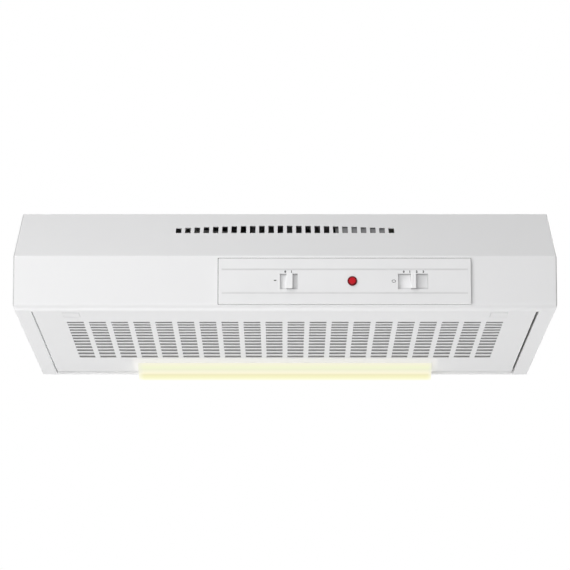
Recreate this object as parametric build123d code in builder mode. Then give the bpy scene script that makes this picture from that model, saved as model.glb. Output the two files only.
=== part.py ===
from build123d import *
import os
from math import cos, radians, sin, sqrt

# Range hood for fixing under a wall cabinet, in millimetres.
# X runs to the right, Y towards the wall and Z up. The origin is on the wall plane,
# in the middle of the hood's width, level with its underside.

os.makedirs("parts", exist_ok=True)

# Housing
hood_width = 600
hood_depth = 480
hood_height = 133.8
front_height = 60.9
slope_depth = 133.3
sheet = 0.8
bend_radius = 8
crease_radius = 2
edge_radius = 1.5
side_tuck = 2.3
seam_inset = 1.8
flange_width = 19.4
front_lip = 10
front_hem = 6
top_nose = 4
top_flange = 10
side_hem = 3.4
rear_hem = 3.4
rear_strip = 6

# Vent slots in the sloped face
vent_count = 24
vent_pitch = 10.43
vent_width = 6.3
vent_bottom = 81.5
vent_top = 110
vent_arc_radius = 755

# Fixing holes
cabinet_hole_radius = 2.6
cabinet_spacing_x = 510
cabinet_spacing_y = 240
cabinet_centre_y = -180
wall_hole_radius = 4
wall_hole_spacing = 400
wall_hole_z = 106
hanging_plate_width = 60
hanging_plate_height = 40
hanging_plate_thick = 1.5

# Filter panel
panel_recess = 2.8
panel_gap_left = 0.4
panel_gap_right = 1.9
panel_gap_front = 0.8
panel_gap_rear = 1
rim_height = 9.2
slot_columns = 20
slot_column_pitch = 24.92
slot_length = 19
slot_rows = 13
first_row_depth = 101.9
first_row_pitch = 17.2
row_pitch_growth = 0.68
slot_share = 0.62
hinge_y = -11
hinge_z = 6.5
hinge_pin_radius = 2
hinge_pin_length = 12
pin_clearance = 0.05
bracket_thick = 1.5
bracket_gap = 2.4

# Grease filter and its wires
soft_gap = 0.3
filter_thick = 6
filter_side_margin = 8
filter_front_depth = 78
wire_radius = 1
wire_count = 3

# Latches
latch_inset = 61.7
latch_width = 18.4
latch_front_depth = 34
latch_rear_depth = 60
latch_proud = 0.5
latch_travel = 4
latch_wing = 3
latch_body_thick = 3
latch_guide_length = 20
running_gap = 0.3
guide_thick = 0.8

# Lamp
lens_half_length = 178
lens_front_y = -76.5
lens_rear_y = -17.5
lens_drop = 15.3
lens_bulge = 4
lens_wall = 2
lens_flange = 6
lens_flange_thick = 1.5
tube_y = -44
tube_z = 27
tube_radius = 8
tube_wall = 1
tube_length = 288
cap_length = 9
tube_pin_radius = 1.2
tube_pin_length = 6
tube_pin_spacing = 5
tray_z = 18
tray_height = 24
tray_bottom_width = 64
tray_slope = 67
tray_end_gap = 17.7
holder_width = 20
holder_thick = 10
bracket_width = 24
bracket_height = 16
ballast_gap = 6
ballast_length = 100
ballast_width = 30
ballast_height = 16

# Control panel
fascia_left = -73.5
fascia_right = 205.3
fascia_bottom = 6.5
fascia_top = 57.6
fascia_thick = 3.2
fascia_edge = 1
groove_width = 0.8
groove_depth = 0.4
groove_inset = 3.8
lower_groove_z = 18.7
upper_groove_z = 44.8
cutout_margin_x = 13
cutout_margin_z = 12
skirt_depth = 7
skirt_wall = 1.5
skirt_gap = 0.4
recess_bottom = 23.4
recess_top = 40.1
recess_depth = 4.2
recess_wall = 2
shadow_gap = 0.6
shadow_inset = 1.2
shield_thick = 1
shield_margin = 1.2
light_recess_left = -5.4
light_recess_right = 13.65
light_knob_x = 4.95
light_knob_width = 7.05
light_travel = 4.7
fan_recess_left = 124.65
fan_recess_right = 157.4
fan_knob_x = 141.75
fan_knob_width = 5.8
fan_travel = 10.9
knob_overlap = 0.3
knob_thick = 3.3
knob_groove_width = 0.6
knob_groove_depth = 0.4
stem_width = 3
stem_height = 9
stem_reach = 6
stem_gap = 0.4
switch_depth = 18
switch_lip = 1
switch_margin = 8
blade_width = 1
blade_height = 6
blade_length = 6
pilot_x = 74.15
pilot_z = 32
pilot_radius = 5.35
pilot_rim = 1.2
pilot_stem_radius = 4.2
pilot_dome = 1.4
pilot_lamp_radius = 4.6
pilot_lamp_length = 20
cover_wall = 1.5
cover_margin = 1
cover_depth = 31

# Terminal box, set behind the sloped face
box_left = 57
box_right = 115
box_low = 74
box_high = 116
box_gap = 1.2
box_depth = 20
box_wall = 1.5
box_lid = 1.5
post_radius = 2.5
post_inset = 2.6
block_length = 40
block_width = 16
block_height = 12
lid_boss_radius = 3
lid_screw_radius = 1.4
lid_screw_head = 2.6
lid_screw_length = 8

# Fan
fan_x = -140
fan_y = -165
scroll_step = 12
scroll_first_radius = 80
scroll_wall = 1.5
scroll_bottom = 64
scroll_floor = 2
cover_plate = 0.8
cover_plate_margin = 8
inlet_radius = 52
outlet_right = 66
outlet_front = -190
impeller_radius = 70
impeller_inner = 56
impeller_bottom = 70
impeller_top = 121.5
blade_count = 36
blade_thick = 1.2
blade_angle = 35
impeller_ring = 2
cup_radius = 43.5
cup_wall = 1.5
cup_floor = 82.5
hub_radius = 8
hub_bottom = 76
motor_radius = 36
motor_bottom = 92
motor_flange_radius = 46
motor_flange = 3
shaft_radius = 3
shaft_bottom = 69
shaft_inside = 20
shaft_clearance = 0.05
nut_radius = 5
nut_height = 5
guard_radius = 58
guard_rim = 4
guard_height = 3.5
guard_rings = 3
guard_ring_width = 2.5
guard_ring_pitch = 13
guard_spokes = 4

# Recirculation shutter
window_count = 3
window_pitch = 36
window_width = 17
window_bottom = 78
window_top = 122
shutter_travel = 18
shutter_thick = 1.2
shutter_margin = 6
rail_thick = 2
rail_lip = 2.5
knob_radius = 4
knob_length = 12

# Duct collar
duct_y = -125
collar_radius = 60
collar_wall = 1.6
collar_height = 28
collar_flange_radius = 68
collar_flange = 1.5
ledge_width = 4
ledge_thick = 1.5
ledge_z = 4.5
flap_thick = 1
flap_gap = 0.5
flap_pin_radius = 1.5
flap_barrel_radius = 2.5
flap_barrel = 22
flap_barrels = 4
flap_barrel_gap = 1
flap_notch = 3.3

# Supply inlet and inside leads
gland_inset = 85
gland_y = -45
gland_bore = 4.1
gland_radius = 7
gland_head_radius = 11
gland_head = 6
gland_nut = 5
gland_tail = 8
lead_radius = 2.5
lead_gap = 0.3
short_bend = 20
wide_bend = 50
switch_lead_drop = 14
switch_lead_end = 20
motor_lead_start = 35
motor_lead_end = 110
lamp_lead_start = 40
lamp_lead_end = 45
lamp_run_inset = 20
clip_width = 10
clip_thick = 1.2
clip_count = 3
clip_inset_front = 66
clip_inset_rear = 75

# Screws
screw_radius = 1.9
screw_head_radius = 3.8
screw_head = 2.2
screw_gap = 0.1
boss_bite = 0.5
boss_height = 30

# Worked out from the sizes above
half_width = hood_width / 2
front_y = -hood_depth
top_inside = hood_height - sheet
slope_rise = hood_height - front_height
slope_plane = Plane(origin=(0, front_y, front_height), x_dir=(1, 0, 0), z_dir=(0, -slope_rise, slope_depth))
seam_x = half_width - seam_inset
flange_x = half_width - flange_width
panel_left = -flange_x + panel_gap_left
panel_right = flange_x - panel_gap_right
panel_x = (panel_left + panel_right) / 2
panel_width = panel_right - panel_left
panel_front = front_y + front_lip + panel_gap_front
panel_rear = -rear_strip - panel_gap_rear
panel_top = panel_recess + sheet
sides = (("left", -1), ("right", 1))
tuck_inside = half_width - side_tuck - 2 * sheet
collar_bore = collar_radius - collar_wall
collar_screw_radius = (collar_radius + collar_flange_radius) / 2 + screw_head_radius / 4
motor_screw_radius = (motor_radius + motor_flange_radius) / 2
cover_bottom = top_inside - cover_plate
latch_x = half_width - latch_inset
gland_x = half_width - gland_inset
tray_top = tray_z + tray_height
tray_half_length = tube_length / 2 + running_gap + holder_thick + tray_end_gap
bracket_x = tray_half_length - bracket_width
ballast_x = bracket_x - bracket_width / 2 - ballast_gap - ballast_length / 2
bracket_screw_z = tray_top + bracket_height / 2

# Centres and radii of the three quarter turns of the fan scroll
scroll_turns = (
    ((fan_x - scroll_step / 2, fan_y - scroll_step / 2), scroll_first_radius, 0),
    ((fan_x - scroll_step / 2, fan_y + scroll_step / 2), scroll_first_radius + scroll_step, -90),
    ((fan_x + scroll_step / 2, fan_y + scroll_step / 2), scroll_first_radius + 2 * scroll_step, -180),
)
tongue_x = scroll_turns[0][0][0] + scroll_first_radius
tongue_y = scroll_turns[0][0][1]
outlet_rear = scroll_turns[2][0][1] + scroll_turns[2][1]

# Screw bosses round the scroll: one on each quarter turn, two on the outlet chamber's end
boss_radius = screw_head_radius + running_gap + boss_bite
boss_offset = scroll_wall + boss_radius - boss_bite
fan_screw_points = [(outlet_right + boss_offset, outlet_front + 4 * boss_radius)]
fan_screw_points.append((outlet_right + boss_offset, outlet_rear - 4 * boss_radius))
for (turn_x, turn_y), turn_radius, start in scroll_turns:
    boss_angle = radians(start - 45)
    reach = turn_radius + boss_offset
    fan_screw_points.append((turn_x + reach * cos(boss_angle), turn_y + reach * sin(boss_angle)))


def facing_front(y):
    """Plane across the hood at y, looking out of the front."""
    return Plane.XZ.offset(-y)


def hood_block(skin):
    """Solid with the hood's outline, drawn in by skin and run out past the back."""
    back = 2 * skin
    with BuildPart() as block:
        with BuildSketch(Plane.YZ) as side_view:
            with BuildLine():
                Polyline(
                    (back, 0),
                    (front_y, 0),
                    (front_y, front_height),
                    (front_y + slope_depth, hood_height),
                    (back, hood_height),
                    close=True,
                )
            make_face()
            front_corners = side_view.vertices().group_by(Axis.X)[0].sort_by(Axis.Y)
            fillet(front_corners[0], bend_radius)
            top_front = side_view.vertices().group_by(Axis.Y)[-1].sort_by(Axis.X)[0]
            crease = side_view.vertices().group_by(Axis.X)[0].sort_by(Axis.Y)[-1]
            fillet([top_front, crease], crease_radius)
            if skin:
                offset(amount=-skin)
        extrude(amount=half_width - skin, both=True)
        end_faces = block.faces().filter_by(Axis.X)
        round_edges = end_faces.edges().filter_by(lambda edge: edge.center().Y < -sheet)
        fillet(round_edges, edge_radius - skin)
        with BuildSketch(Plane.XZ):
            with BuildLine():
                tuck_x = half_width - side_tuck
                Line((-tuck_x, 0), (tuck_x, 0))
                TangentArc((half_width, bend_radius), (tuck_x, 0), tangent=(0, -1))
                TangentArc((-half_width, bend_radius), (-tuck_x, 0), tangent=(0, -1))
                Polyline(
                    (half_width, bend_radius),
                    (half_width, hood_height),
                    (-half_width, hood_height),
                    (-half_width, bend_radius),
                )
            make_face()
            if skin:
                offset(amount=-skin, kind=Kind.INTERSECTION)
        extrude(amount=2 * hood_depth, both=True, mode=Mode.INTERSECT)
    return block.part


def scroll_outline(growth):
    """Air space of the fan scroll and its outlet chamber, each wall moved out by growth."""
    with BuildSketch() as outline:
        with BuildLine():
            for centre, turn_radius, start in scroll_turns:
                CenterArc(centre, turn_radius + growth, start, -90)
            Polyline(
                (scroll_turns[2][0][0], outlet_rear + growth),
                (tongue_x + growth, outlet_rear + growth),
                (tongue_x + growth, tongue_y),
            )
        make_face()
        with Locations(((tongue_x + outlet_right) / 2, (outlet_front + outlet_rear) / 2)):
            Rectangle(outlet_right - tongue_x + 2 * growth, outlet_rear - outlet_front + 2 * growth)
    return outline.sketch


outer_block = hood_block(0)
inner_block = hood_block(sheet)

# Hood shell: front band and sloped face from one folded sheet, with a flange under the top
top_seam_y = front_y + slope_depth + top_nose
fascia_x = (fascia_left + fascia_right) / 2
fascia_z = (fascia_bottom + fascia_top) / 2
fascia_width = fascia_right - fascia_left
fascia_height = fascia_top - fascia_bottom
cutout_width = fascia_width - 2 * cutout_margin_x
cutout_height = fascia_height - 2 * cutout_margin_z
with BuildPart() as hood_shell:
    add(outer_block)
    add(inner_block, mode=Mode.SUBTRACT)
    split(bisect_by=Plane.YZ.offset(seam_x), keep=Keep.BOTTOM)
    split(bisect_by=Plane.YZ.offset(-seam_x), keep=Keep.TOP)
    with BuildSketch(Plane.XY):
        with Locations((0, -(hood_depth - front_lip) / 2)):
            Rectangle(hood_width, hood_depth - front_lip)
    extrude(amount=sheet, mode=Mode.SUBTRACT)
    with BuildSketch(Plane.XY):
        with Locations((0, -(hood_depth - front_lip) / 2)):
            Rectangle(hood_width, hood_depth - front_lip)
            Rectangle(2 * tuck_inside, hood_depth - front_lip, mode=Mode.SUBTRACT)
    extrude(amount=bend_radius, mode=Mode.SUBTRACT)
    with BuildSketch(Plane.XY):
        with Locations((0, front_y + front_lip - sheet / 2)):
            Rectangle(2 * flange_x, sheet)
    extrude(amount=front_hem)
    with BuildSketch(slope_plane):
        for index in range(vent_count):
            vent_x = (index - (vent_count - 1) / 2) * vent_pitch
            vent_end = vent_top - vent_arc_radius + sqrt(vent_arc_radius**2 - vent_x**2)
            with Locations((vent_x, (vent_bottom + vent_end) / 2)):
                Rectangle(vent_width, vent_end - vent_bottom)
    extrude(amount=-2 * sheet, mode=Mode.SUBTRACT)
    with BuildSketch(facing_front(front_y)):
        with Locations((fascia_x, fascia_z)):
            Rectangle(cutout_width, cutout_height)
    extrude(amount=-2 * sheet, mode=Mode.SUBTRACT)
    with BuildSketch(Plane.XY.offset(hood_height)):
        with Locations((0, top_seam_y / 2)):
            Rectangle(hood_width, -top_seam_y)
    extrude(amount=-sheet, mode=Mode.SUBTRACT)
    with BuildSketch(Plane.XY.offset(top_inside)):
        with Locations((0, top_seam_y - top_nose / 2)):
            flange_depth = top_flange + top_nose / 2
            Rectangle(2 * (half_width - 2 * seam_inset), flange_depth, align=(Align.CENTER, Align.MIN))
    extrude(amount=-sheet)
hood_shell.part.label = "hood_shell"
export_step(hood_shell.part, "parts/hood_shell.step")

# Top panel: flat sheet behind the sloped face, with the holes for duct, screws and gland
with BuildPart() as top_panel:
    add(outer_block)
    add(inner_block, mode=Mode.SUBTRACT)
    with BuildSketch(Plane.XY.offset(hood_height)):
        with Locations((0, top_seam_y / 2)):
            Rectangle(2 * seam_x, -top_seam_y)
    extrude(amount=-sheet, mode=Mode.INTERSECT)
    with BuildSketch(Plane.XY.offset(hood_height)):
        with Locations((0, duct_y)):
            Circle(collar_bore)
        with Locations((0, cabinet_centre_y)):
            with GridLocations(cabinet_spacing_x, cabinet_spacing_y, 2, 2):
                Circle(cabinet_hole_radius)
        with Locations((gland_x, gland_y)):
            Circle(gland_radius)
        with Locations((0, duct_y)):
            with PolarLocations(collar_screw_radius, 4, start_angle=45):
                Circle(screw_radius + screw_gap)
        with Locations(*fan_screw_points):
            Circle(screw_radius + screw_gap)
    extrude(amount=-2 * sheet, mode=Mode.SUBTRACT)
top_panel.part.label = "top_panel"
export_step(top_panel.part, "parts/top_panel.step")

# Side panels: the end strip of the housing and the flange turned in along the bottom
for side_name, side in sides:
    with BuildPart() as side_panel:
        add(outer_block)
        add(inner_block, mode=Mode.SUBTRACT)
        with BuildSketch(Plane.XZ):
            with Locations((side * (seam_x + half_width) / 2, hood_height / 2)):
                Rectangle(seam_inset, hood_height)
            with Locations((side * (tuck_inside + half_width) / 2, bend_radius / 2)):
                Rectangle(half_width - tuck_inside, bend_radius)
            with Locations((side * (flange_x + half_width) / 2, sheet / 2)):
                Rectangle(flange_width, sheet)
        extrude(amount=hood_depth, mode=Mode.INTERSECT)
        with BuildSketch(Plane.XY):
            with Locations((side * seam_x / 2, front_y + front_lip / 2)):
                Rectangle(seam_x, front_lip)
        extrude(amount=bend_radius, mode=Mode.SUBTRACT)
        with BuildSketch(Plane.XY):
            with Locations((side * (flange_x + sheet / 2), -(hood_depth - front_lip + sheet) / 2)):
                Rectangle(sheet, hood_depth - front_lip - sheet)
        extrude(amount=side_hem)
    side_panel.part.label = f"{side_name}_side_panel"
    export_step(side_panel.part, f"parts/{side_name}_side_panel.step")

# Back panel: wall sheet with a strip and a turned-up lip along its lower edge
with BuildPart() as back_panel:
    with BuildSketch(facing_front(0)):
        with Locations((0, (sheet + top_inside) / 2)):
            Rectangle(hood_width, hood_height)
    extrude(amount=sheet)
    add(inner_block, mode=Mode.INTERSECT)
    with BuildSketch(Plane.XY):
        with Locations((0, -rear_strip / 2)):
            Rectangle(2 * flange_x, rear_strip)
    extrude(amount=sheet)
    with BuildSketch(Plane.XY):
        with Locations((0, -rear_strip + sheet / 2)):
            Rectangle(2 * flange_x, sheet)
    extrude(amount=rear_hem)
    with BuildSketch(facing_front(0)):
        with Locations((0, wall_hole_z)):
            with GridLocations(wall_hole_spacing, 0, 2, 1):
                Circle(wall_hole_radius)
        with Locations((0, bracket_screw_z)):
            with GridLocations(2 * bracket_x, 0, 2, 1):
                Circle(screw_radius + screw_gap)
    extrude(amount=sheet, mode=Mode.SUBTRACT)
back_panel.part.label = "back_panel"
export_step(back_panel.part, "parts/back_panel.step")

# Hanging plates: stiffen the back panel round the wall screws
with BuildPart() as hanging_plates:
    with BuildSketch(facing_front(-sheet)):
        with Locations((0, wall_hole_z)):
            with GridLocations(wall_hole_spacing, 0, 2, 1):
                Rectangle(hanging_plate_width, hanging_plate_height)
                Circle(wall_hole_radius, mode=Mode.SUBTRACT)
    extrude(amount=hanging_plate_thick)
hanging_plates.part.label = "hanging_plates"
export_step(hanging_plates.part, "parts/hanging_plates.step")

# Filter panel: slotted steel tray, hinged at the rear and latched at the front
slot_centres = []
row_depth = first_row_depth
for row in range(slot_rows):
    slot_centres.append((front_y + row_depth, slot_share * (first_row_pitch + row_pitch_growth * row)))
    row_depth += first_row_pitch + row_pitch_growth * row
latch_y = front_y + (latch_front_depth + latch_rear_depth) / 2
latch_length = latch_rear_depth - latch_front_depth
latch_body_width = latch_width + 2 * latch_wing
lens_window_y = (lens_front_y + lens_rear_y) / 2
lens_window_width = lens_rear_y - lens_front_y + 2 * running_gap
latch_body_bottom = panel_top + running_gap
latch_guide_height = latch_body_thick + 2 * running_gap + guide_thick
guide_x = latch_body_width / 2 + running_gap + guide_thick / 2
with BuildPart() as filter_panel:
    with BuildSketch(Plane.XY.offset(panel_recess)):
        with Locations((panel_x, (panel_front + panel_rear) / 2)):
            Rectangle(panel_width, panel_rear - panel_front)
    extrude(amount=rim_height)
    with BuildSketch(Plane.XY.offset(panel_top)):
        with Locations((panel_x, (panel_front + panel_rear) / 2)):
            Rectangle(panel_width - 2 * sheet, panel_rear - panel_front - 2 * sheet)
        with Locations((0, panel_front)):
            with GridLocations(2 * latch_x, 0, 2, 1):
                Rectangle(latch_body_width + 2 * running_gap, 4 * sheet)
    extrude(amount=rim_height, mode=Mode.SUBTRACT)
    for side_name, side in sides:
        for edge in (-1, 1):
            with BuildSketch(Plane.XZ.offset(-latch_y)):
                with Locations((side * latch_x + edge * guide_x, panel_top)):
                    Rectangle(guide_thick, latch_guide_height, align=(Align.CENTER, Align.MIN))
                lip_x = side * latch_x + edge * (guide_x - guide_thick / 2)
                with Locations((lip_x, panel_top + latch_guide_height)):
                    Rectangle(2 * guide_thick, guide_thick, align=(Align.CENTER, Align.MAX))
            extrude(amount=latch_guide_length / 2, both=True)
    with BuildSketch(Plane.YZ):
        with Locations((hinge_y, hinge_z)):
            Circle(hinge_pin_radius)
    extrude(amount=half_width, both=True, mode=Mode.SUBTRACT)
    with BuildSketch(Plane.XY.offset(panel_recess)):
        for row_y, slot_height in slot_centres:
            with Locations((0, row_y)):
                with GridLocations(slot_column_pitch, 0, slot_columns, 1):
                    Rectangle(slot_length, slot_height)
        with Locations((0, lens_window_y)):
            Rectangle(2 * (lens_half_length + running_gap), lens_window_width)
        with Locations((0, latch_y + latch_travel / 2)):
            with GridLocations(2 * latch_x, 0, 2, 1):
                Rectangle(latch_width + 2 * running_gap, latch_length + latch_travel + 2 * running_gap)
    extrude(amount=sheet, mode=Mode.SUBTRACT)
filter_panel.part.label = "filter_panel"
export_step(filter_panel.part, "parts/filter_panel.step")

# Hinge pins: one through each side rim of the filter panel
with BuildPart() as hinge_pins:
    for pin_x, direction in ((panel_left + sheet, -1), (panel_right - sheet, 1)):
        with BuildSketch(Plane.YZ.offset(pin_x)):
            with Locations((hinge_y, hinge_z)):
                Circle(hinge_pin_radius)
        extrude(amount=direction * (hinge_pin_length - 2 * sheet))
        with BuildSketch(Plane.YZ.offset(pin_x)):
            with Locations((hinge_y, hinge_z)):
                Circle(hinge_pin_radius + sheet)
        extrude(amount=-direction * sheet)
hinge_pins.part.label = "hinge_pins"
export_step(hinge_pins.part, "parts/hinge_pins.step")

# Hinge brackets: one ear on each side flange, with a hole that carries the pin
ear_x = flange_x + bracket_gap
for side_name, side in sides:
    with BuildPart() as hinge_bracket:
        with BuildSketch(Plane.XY.offset(sheet)):
            with Locations((side * (ear_x + half_width - 2 * bracket_thick) / 2, hinge_y - hinge_pin_radius)):
                Rectangle(half_width - 2 * bracket_thick - ear_x, 4 * hinge_pin_radius)
        extrude(amount=bracket_thick)
        with BuildSketch(Plane.YZ.offset(side * ear_x)):
            with Locations((hinge_y - hinge_pin_radius, (sheet + hinge_z + 2 * hinge_pin_radius) / 2)):
                Rectangle(4 * hinge_pin_radius, hinge_z + 2 * hinge_pin_radius - sheet)
            with Locations((hinge_y, hinge_z)):
                Circle(2 * hinge_pin_radius)
                Circle(hinge_pin_radius + pin_clearance, mode=Mode.SUBTRACT)
        extrude(amount=side * bracket_thick)
    hinge_bracket.part.label = f"{side_name}_hinge_bracket"
    export_step(hinge_bracket.part, f"parts/{side_name}_hinge_bracket.step")

# Grease filter: fibre pad laid on the filter panel
filter_bottom = panel_top + soft_gap
filter_top = filter_bottom + filter_thick
filter_front = front_y + filter_front_depth
filter_rear = lens_front_y - lens_flange - 2
with BuildPart() as grease_filter:
    with BuildSketch(Plane.XY.offset(filter_bottom)):
        with Locations((panel_x, (filter_front + filter_rear) / 2)):
            RectangleRounded(panel_width - 2 * filter_side_margin, filter_rear - filter_front, 3)
    extrude(amount=filter_thick)
    fillet(grease_filter.edges().group_by(Axis.Z)[-1], filter_thick / 4)
grease_filter.part.label = "grease_filter"
export_step(grease_filter.part, "parts/grease_filter.step")

# Filter wires: sprung between the side rims to hold the pad down
wire_z = filter_top + soft_gap + wire_radius
wire_pitch = (filter_rear - filter_front) / wire_count
with BuildPart() as filter_wires:
    for index in range(wire_count):
        wire_y = filter_front + (index + 0.5) * wire_pitch
        with BuildSketch(Plane.YZ.offset(panel_left + sheet)):
            with Locations((wire_y, wire_z)):
                Circle(wire_radius)
        extrude(amount=panel_width - 2 * sheet)
filter_wires.part.label = "filter_wires"
export_step(filter_wires.part, "parts/filter_wires.step")

# Latches: finger plate in the panel's cut-out, under a sliding body that is also the tongue
latch_bottom = panel_recess - latch_proud
body_front = panel_front + running_gap
body_rear = front_y + latch_rear_depth
for side_name, side in sides:
    with BuildPart() as latch:
        with BuildSketch(Plane.XY.offset(latch_bottom)):
            with Locations((side * latch_x, latch_y)):
                Rectangle(latch_width, latch_length)
        extrude(amount=latch_body_bottom - latch_bottom)
        fillet(latch.edges().group_by(Axis.Z)[0], latch_proud / 2)
        with BuildSketch(Plane.XY.offset(latch_body_bottom)):
            with Locations((side * latch_x, (body_front + body_rear) / 2)):
                Rectangle(latch_body_width, body_rear - body_front)
        extrude(amount=latch_body_thick)
    latch.part.label = f"{side_name}_latch"
    export_step(latch.part, f"parts/{side_name}_latch.step")

# Lamp lens: frosted tray that drops through the filter panel's window
lens_low = ((lens_front_y + 2 * lens_rear_y) / 3, panel_recess - lens_drop)
with BuildPart() as lamp_lens:
    with BuildSketch(Plane.YZ) as lens_outline:
        with BuildLine():
            rear_curve = SagittaArc(lens_low, (lens_rear_y, panel_recess), -lens_bulge)
            TangentArc(lens_low, (lens_front_y, panel_recess), tangent=-(rear_curve % 0))
            Polyline(
                (lens_front_y, panel_recess),
                (lens_front_y, panel_top),
                (lens_rear_y, panel_top),
                (lens_rear_y, panel_recess),
            )
        make_face()
    extrude(amount=lens_half_length, both=True)
    with BuildSketch(Plane.XY.offset(panel_top)):
        with Locations((0, lens_window_y)):
            Rectangle(2 * (lens_half_length + lens_flange), lens_rear_y - lens_front_y + 2 * lens_flange)
    extrude(amount=lens_flange_thick)
    with BuildSketch(Plane.YZ):
        add(lens_outline.sketch_local)
        with Locations((lens_window_y, panel_recess)):
            Rectangle(lens_rear_y - lens_front_y, lens_drop, align=(Align.CENTER, Align.MIN))
        offset(amount=-lens_wall, kind=Kind.INTERSECTION)
    extrude(amount=lens_half_length - lens_wall, both=True, mode=Mode.SUBTRACT)
lamp_lens.part.label = "lamp_lens"
export_step(lamp_lens.part, "parts/lamp_lens.step")

# Lamp tray: white reflector channel with closed ends
with BuildPart() as lamp_tray:
    with BuildSketch(Plane.YZ):
        with Locations((tube_y, tray_z + tray_height / 2)):
            Trapezoid(tray_bottom_width, tray_height, tray_slope)
    extrude(amount=tray_half_length, both=True)
    with BuildSketch(Plane.YZ):
        with Locations((tube_y, tray_z + tray_height / 2 - sheet)):
            Trapezoid(tray_bottom_width - 2 * sheet, tray_height, tray_slope)
    extrude(amount=tray_half_length - sheet, both=True, mode=Mode.SUBTRACT)
    with BuildSketch(Plane.XY.offset(tray_top)):
        with Locations((0, tube_y)):
            with GridLocations(2 * bracket_x, 0, 2, 1):
                Circle(screw_radius + screw_gap)
    extrude(amount=-sheet, mode=Mode.SUBTRACT)
lamp_tray.part.label = "lamp_tray"
export_step(lamp_tray.part, "parts/lamp_tray.step")

# Lamp brackets: carry the tray on the back panel
with BuildPart() as lamp_brackets:
    for side_name, side in sides:
        with BuildSketch(Plane.YZ.offset(side * bracket_x)):
            with Locations((-sheet, tray_top)):
                Rectangle(holder_width / 2 - sheet - tube_y, sheet, align=(Align.MAX, Align.MIN))
                Rectangle(sheet, bracket_height, align=(Align.MAX, Align.MIN))
        extrude(amount=bracket_width / 2, both=True)
    with BuildSketch(Plane.XY.offset(tray_top)):
        with Locations((0, tube_y)):
            with GridLocations(2 * bracket_x, 0, 2, 1):
                Circle(screw_radius + screw_gap)
    extrude(amount=sheet, mode=Mode.SUBTRACT)
    with BuildSketch(facing_front(-sheet)):
        with Locations((0, bracket_screw_z)):
            with GridLocations(2 * bracket_x, 0, 2, 1):
                Circle(screw_radius + screw_gap)
    extrude(amount=sheet, mode=Mode.SUBTRACT)
lamp_brackets.part.label = "lamp_brackets"
export_step(lamp_brackets.part, "parts/lamp_brackets.step")

# Lamp screws: two hold the brackets to the back panel, two hold the tray to the brackets
with BuildPart() as lamp_screws:
    with BuildSketch(facing_front(0)):
        with Locations((0, bracket_screw_z)):
            with GridLocations(2 * bracket_x, 0, 2, 1):
                Circle(screw_radius)
    extrude(amount=2 * sheet)
    with BuildSketch(facing_front(-2 * sheet)):
        with Locations((0, bracket_screw_z)):
            with GridLocations(2 * bracket_x, 0, 2, 1):
                Circle(screw_head_radius)
    extrude(amount=screw_head)
    with BuildSketch(Plane.XY.offset(tray_top - sheet)):
        with Locations((0, tube_y)):
            with GridLocations(2 * bracket_x, 0, 2, 1):
                Circle(screw_radius)
    extrude(amount=2 * sheet)
    with BuildSketch(Plane.XY.offset(tray_top + sheet)):
        with Locations((0, tube_y)):
            with GridLocations(2 * bracket_x, 0, 2, 1):
                Circle(screw_head_radius)
    extrude(amount=screw_head)
lamp_screws.part.label = "lamp_screws"
export_step(lamp_screws.part, "parts/lamp_screws.step")

# Lamp tube and its metal end caps with their contact pins
with BuildPart() as lamp_tube:
    with BuildSketch(Plane.YZ):
        with Locations((tube_y, tube_z)):
            Circle(tube_radius)
            Circle(tube_radius - tube_wall, mode=Mode.SUBTRACT)
    extrude(amount=tube_length / 2 - cap_length, both=True)
lamp_tube.part.label = "lamp_tube"
export_step(lamp_tube.part, "parts/lamp_tube.step")

with BuildPart() as tube_caps:
    for side_name, side in sides:
        with BuildSketch(Plane.YZ.offset(side * tube_length / 2)):
            with Locations((tube_y, tube_z)):
                Circle(tube_radius)
        extrude(amount=-side * cap_length)
        with BuildSketch(Plane.YZ.offset(side * tube_length / 2)):
            with Locations((tube_y, tube_z)):
                with GridLocations(0, tube_pin_spacing, 1, 2):
                    Circle(tube_pin_radius)
        extrude(amount=side * tube_pin_length)
tube_caps.part.label = "tube_caps"
export_step(tube_caps.part, "parts/tube_caps.step")

# Lamp holders: stand down from the tray and take the tube's pins
with BuildPart() as lamp_holders:
    for side_name, side in sides:
        holder_x = side * (tube_length / 2 + running_gap)
        with BuildSketch(Plane.YZ.offset(holder_x)):
            with Locations((tube_y, tray_top - sheet)):
                holder_drop = tray_top - sheet - tube_z + tube_radius
                Rectangle(holder_width, holder_drop, align=(Align.CENTER, Align.MAX))
        extrude(amount=side * holder_thick)
        with BuildSketch(Plane.YZ.offset(holder_x)):
            with Locations((tube_y, tube_z)):
                with GridLocations(0, tube_pin_spacing, 1, 2):
                    Circle(tube_pin_radius + screw_gap)
        extrude(amount=side * tube_pin_length, mode=Mode.SUBTRACT)
lamp_holders.part.label = "lamp_holders"
export_step(lamp_holders.part, "parts/lamp_holders.step")

# Ballast: box on top of the lamp tray
with BuildPart() as lamp_ballast:
    with BuildSketch(Plane.XY.offset(tray_top)):
        with Locations((ballast_x, tube_y)):
            RectangleRounded(ballast_length, ballast_width, 2)
    extrude(amount=ballast_height)
    fillet(lamp_ballast.edges().group_by(Axis.Z)[-1], sheet)
lamp_ballast.part.label = "lamp_ballast"
export_step(lamp_ballast.part, "parts/lamp_ballast.step")

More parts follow.
